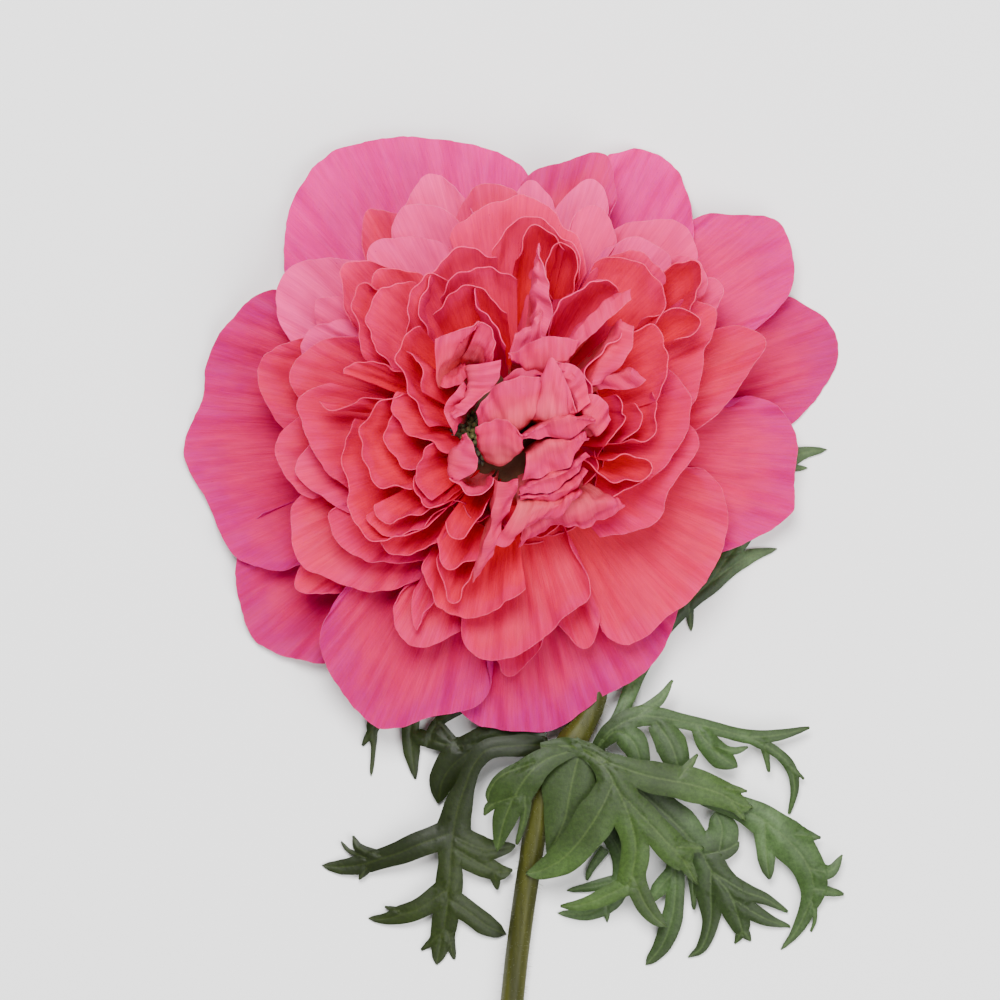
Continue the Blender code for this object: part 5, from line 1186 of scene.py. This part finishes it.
# %% The stem's rings on its route
STEM_RADIUS = 1.8
COLLAR_RADIUS = 2.4
COLLAR_REACH = 2.5
STEM_RINGS = 260
STEM_SIDES = 28
STEM_TOP_Z = 10.7
ROUTE_STEP = 0.004
UPRIGHT_SHARE = 0.012
RIDGES = 7
RIDGE_HEIGHT = 0.025
RIDGE_SETBACK = 0.03

# The stem curls down under the bloom and then lies along the surface. The bracts sit at its
# collar, which is one stop of the route.
STEM_ROUTE = [
    (0, 0, 10.2), (0, -0.1, 9.4), (0.3, -1.2, 7.5), (1.2, -4, 4.9), (3.6, -12, 3.2), (8, -24, 3.0),
    (12.6, -35, 3.8), (12.6, -40.5, 4.8), (9.2, -46.4, 5.4), (5.0, -54, 4.8), (3.0, -65, 3.4),
    (1.4, -76, 2.3), (0.4, -85, 1.9), (-1.6, -105, 1.8), (-3.2, -130, 1.8), (-3.0, -160, 1.8),
    (-0.5, -190, 1.8),
]
COLLAR_STOP = 8


def route_share(share):
    """Return the points at the given shares of the stem's route, kept between its ends."""
    return along_curve(route, np.clip(share, 0, 1))


def collar_swell(centre):
    """Return how much thicker the stem is at each point for the collar near it."""
    away = np.linalg.norm(centre - STEM_ROUTE[COLLAR_STOP], axis=1)
    return (COLLAR_RADIUS - STEM_RADIUS) * np.exp(-(away / COLLAR_REACH) ** 2)


bpy.ops.mesh.primitive_cylinder_add(vertices=STEM_SIDES, radius=1.0, depth=1.0)
stem = name_piece("stem_scape")
bpy.ops.object.mode_set(mode="EDIT")
mesh = bmesh.from_edit_mesh(stem.data)
for edge in mesh.edges:
    edge.select_set(abs(edge.verts[0].co.z - edge.verts[1].co.z) > 0.5)
bmesh.update_edit_mesh(stem.data)
bpy.ops.mesh.subdivide(number_cuts=STEM_RINGS)
bpy.ops.object.mode_set(mode="OBJECT")

route = smooth_curve([(0, 0, STEM_TOP_Z)] + STEM_ROUTE)
points = read_points(stem)
share = 0.5 - points[:, 2]
centre = along_curve(route, share)
ahead = unit(route_share(share + ROUTE_STEP) - route_share(share - ROUTE_STEP))
ahead[share < UPRIGHT_SHARE] = (0, 0, -1)
right = unit(np.cross(ahead, (0, -0.35, 0.94)))
over = np.cross(right, ahead)
turn = np.arctan2(points[:, 1], points[:, 0])
radius = STEM_RADIUS + collar_swell(centre)
radius = radius * (1 + RIDGE_HEIGHT * np.cos(RIDGES * turn) - RIDGE_SETBACK)
radius = radius * np.minimum(np.hypot(points[:, 0], points[:, 1]), 1)
surface = centre + radius[:, None] * (right * np.cos(turn)[:, None] + over * np.sin(turn)[:, None])
table_z = -BLOOM_PLACE[2]
surface[:, 2] = np.maximum(surface[:, 2], table_z)
write_points(stem, in_metres(surface))
bpy.ops.object.shade_smooth_by_angle(angle=SHARP_ANGLE)
print("stem", triangle_count(stem), "triangles")

# %% [markdown]
# ### Hairs
# Short silky hairs cover the scape and stand nearly straight out of it. Each one is a thin
# three-sided spike with its root sunk in the stem. One spike is drawn once, and numbers are
# used to set it down over and over along the route, which is far quicker than copying objects.

# %% Hairs on the stem
HAIRS = 2400
HAIR_LENGTH = (0.5, 1.3)
HAIR_RADIUS = 0.018
HAIR_SHARE = (0.03, 0.995)
HAIR_SPREAD = 0.5
HAIR_LEAN = 0.5
HAIR_LIFT = 0.1
HAIR_ROOT_SHARE = 0.93

chance = np.random.default_rng(41)
turn = np.arange(3) * TWO_PI / 3
spike = np.vstack([np.column_stack([np.cos(turn), np.sin(turn), np.zeros(3)]), [[0, 0, 1]]])
share = chance.uniform(*HAIR_SHARE, HAIRS)
centre = along_curve(route, share)
ahead = unit(route_share(share + ROUTE_STEP) - centre)
right = unit(np.cross(ahead, (0, 0, 1)))
over = np.cross(right, ahead)
angle = chance.uniform(-HAIR_SPREAD, math.pi + HAIR_SPREAD, HAIRS)
out = right * np.cos(angle)[:, None] + over * np.sin(angle)[:, None]
lean = ahead * chance.uniform(-HAIR_LEAN, HAIR_LEAN, HAIRS)[:, None]
lean = unit(out + lean + over * HAIR_LIFT)
root = centre + out * (STEM_RADIUS * HAIR_ROOT_SHARE + collar_swell(centre))[:, None]
length = chance.uniform(*HAIR_LENGTH, HAIRS)
one = unit(np.cross(lean, ahead))
two = np.cross(lean, one)
tips = (root[:, None, :]
        + one[:, None, :] * (spike[None, :, 0:1] * HAIR_RADIUS)
        + two[:, None, :] * (spike[None, :, 1:2] * HAIR_RADIUS)
        + lean[:, None, :] * (spike[None, :, 2:3] * length[:, None, None]))
faces = np.array([(0, 2, 1), (0, 1, 3), (1, 2, 3), (2, 0, 3)])
faces = (faces[None] + 4 * np.arange(HAIRS)[:, None, None]).reshape(-1, 3)
hairs = add_mesh("stem_hairs", tips.reshape(-1, 3), faces.tolist())
bpy.ops.object.mode_set(mode="EDIT")
bpy.ops.mesh.select_all(action="SELECT")
bpy.ops.mesh.normals_make_consistent(inside=False)
bpy.ops.object.mode_set(mode="OBJECT")
print("hairs", triangle_count(hairs), "triangles")

# %% [markdown]
# ## Finishes of the green core, the stem and its hairs
# The scape is olive with brownish streaks that run along it. The hairs are whitish. The
# receptacle is dark brown on top and petal pink down its flank, where the petals' bases cover
# it, and the carpels are mottled from near black to green.

# %% Stem, hair and core finishes
def plain_growth(name, dark, light, scale, stretch, roughness, flank=None):
    """Make a finish that is mottled from dark to light, with another colour down its flank."""
    finish, tree, shader = new_finish(name, roughness)
    place = tree.nodes.new("ShaderNodeTexCoord").outputs["Object"]
    streaks = noise(tree, place, scale, 4.0, 0.6, stretch)
    grain = noise(tree, place, 1500.0, 2.0)
    colour = mix_colours(tree, map_value(tree, streaks, 0.3, 0.7, 0.0, 1.0), dark, light)
    if flank:
        down = map_value(tree, read_value(tree, "down"), 0.26, 0.36, 0.0, 1.0)
        colour = mix_colours(tree, down, colour, flank)
    tree.links.new(colour, shader.inputs["Base Color"])
    soften(shader, 0.2, 0.1, (0.5, 0.6, 0.2), 0.0008)
    add_bump(tree, shader, do_math(tree, "ADD", streaks, grain), 0.3, 0.0002)
    return finish


EVEN = (1, 1, 1)

stem_finish = plain_growth("stem olive", (0.022, 0.024, 0.002), (0.056, 0.058, 0.007), 420.0,
                           (1.0, 0.06, 1.0), 0.5)
hair_finish = plain_growth("stem hair", (0.10, 0.11, 0.05), (0.24, 0.25, 0.15), 300.0, EVEN, 0.5)
knob_finish = plain_growth("receptacle", (0.09, 0.02, 0.015), (0.12, 0.07, 0.03), 160.0, EVEN,
                           0.6, flank=(0.50, 0.0, 0.02))
carpel_finish = plain_growth("carpel", (0.03, 0.012, 0.03), (0.20, 0.22, 0.08), 260.0, EVEN, 0.6)
finish_piece(stem, stem_finish, "stem", "stem")
finish_piece(hairs, hair_finish, "stem", "stem")
finish_piece(receptacle, knob_finish, "petal", "bloom")
finish_piece(carpels, carpel_finish, "petal", "bloom")

# %% [markdown]
# ## Table and light
# The flower lies on a plain pale table. One broad soft light stands for a studio's softbox up and
# to the left of the view, a second fills from the right, and a pale surround lifts the shadows.

# %% Floor and lights
PALE = (0.95, 0.95, 0.95, 1.0)
WHITE = (1.0, 1.0, 1.0, 1.0)
SURROUND_STRENGTH = 0.35

bpy.ops.mesh.primitive_plane_add(size=6.0, location=(0, 0, 0))
floor = name_piece("floor")
pale, tree, shader = new_finish("pale floor", 0.7)
shader.inputs["Base Color"].default_value = PALE
floor.data.materials.append(pale)


def add_softbox(name, away, size, power):
    """Add a round soft light this far away from the bloom, aimed at it, in metres and watts."""
    away = Vector(away)
    bpy.ops.object.light_add(type="AREA", location=Vector(in_metres((0, 0, 15))) + away)
    light = name_piece(name)
    light.data.shape = "DISK"
    light.data.size = size
    light.data.energy = power
    light.rotation_euler = (-away).to_track_quat("-Z", "Y").to_euler()


add_softbox("key light", (-0.08, 0.38, 1.0), 0.5, 19.0)
add_softbox("fill light", (0.45, -0.3, 0.9), 0.9, 13.0)
surround = bpy.data.worlds.new("pale surround")
surround.use_nodes = True
background = surround.node_tree.nodes["Background"]
background.inputs["Color"].default_value = WHITE
background.inputs["Strength"].default_value = SURROUND_STRENGTH
bpy.context.scene.world = surround
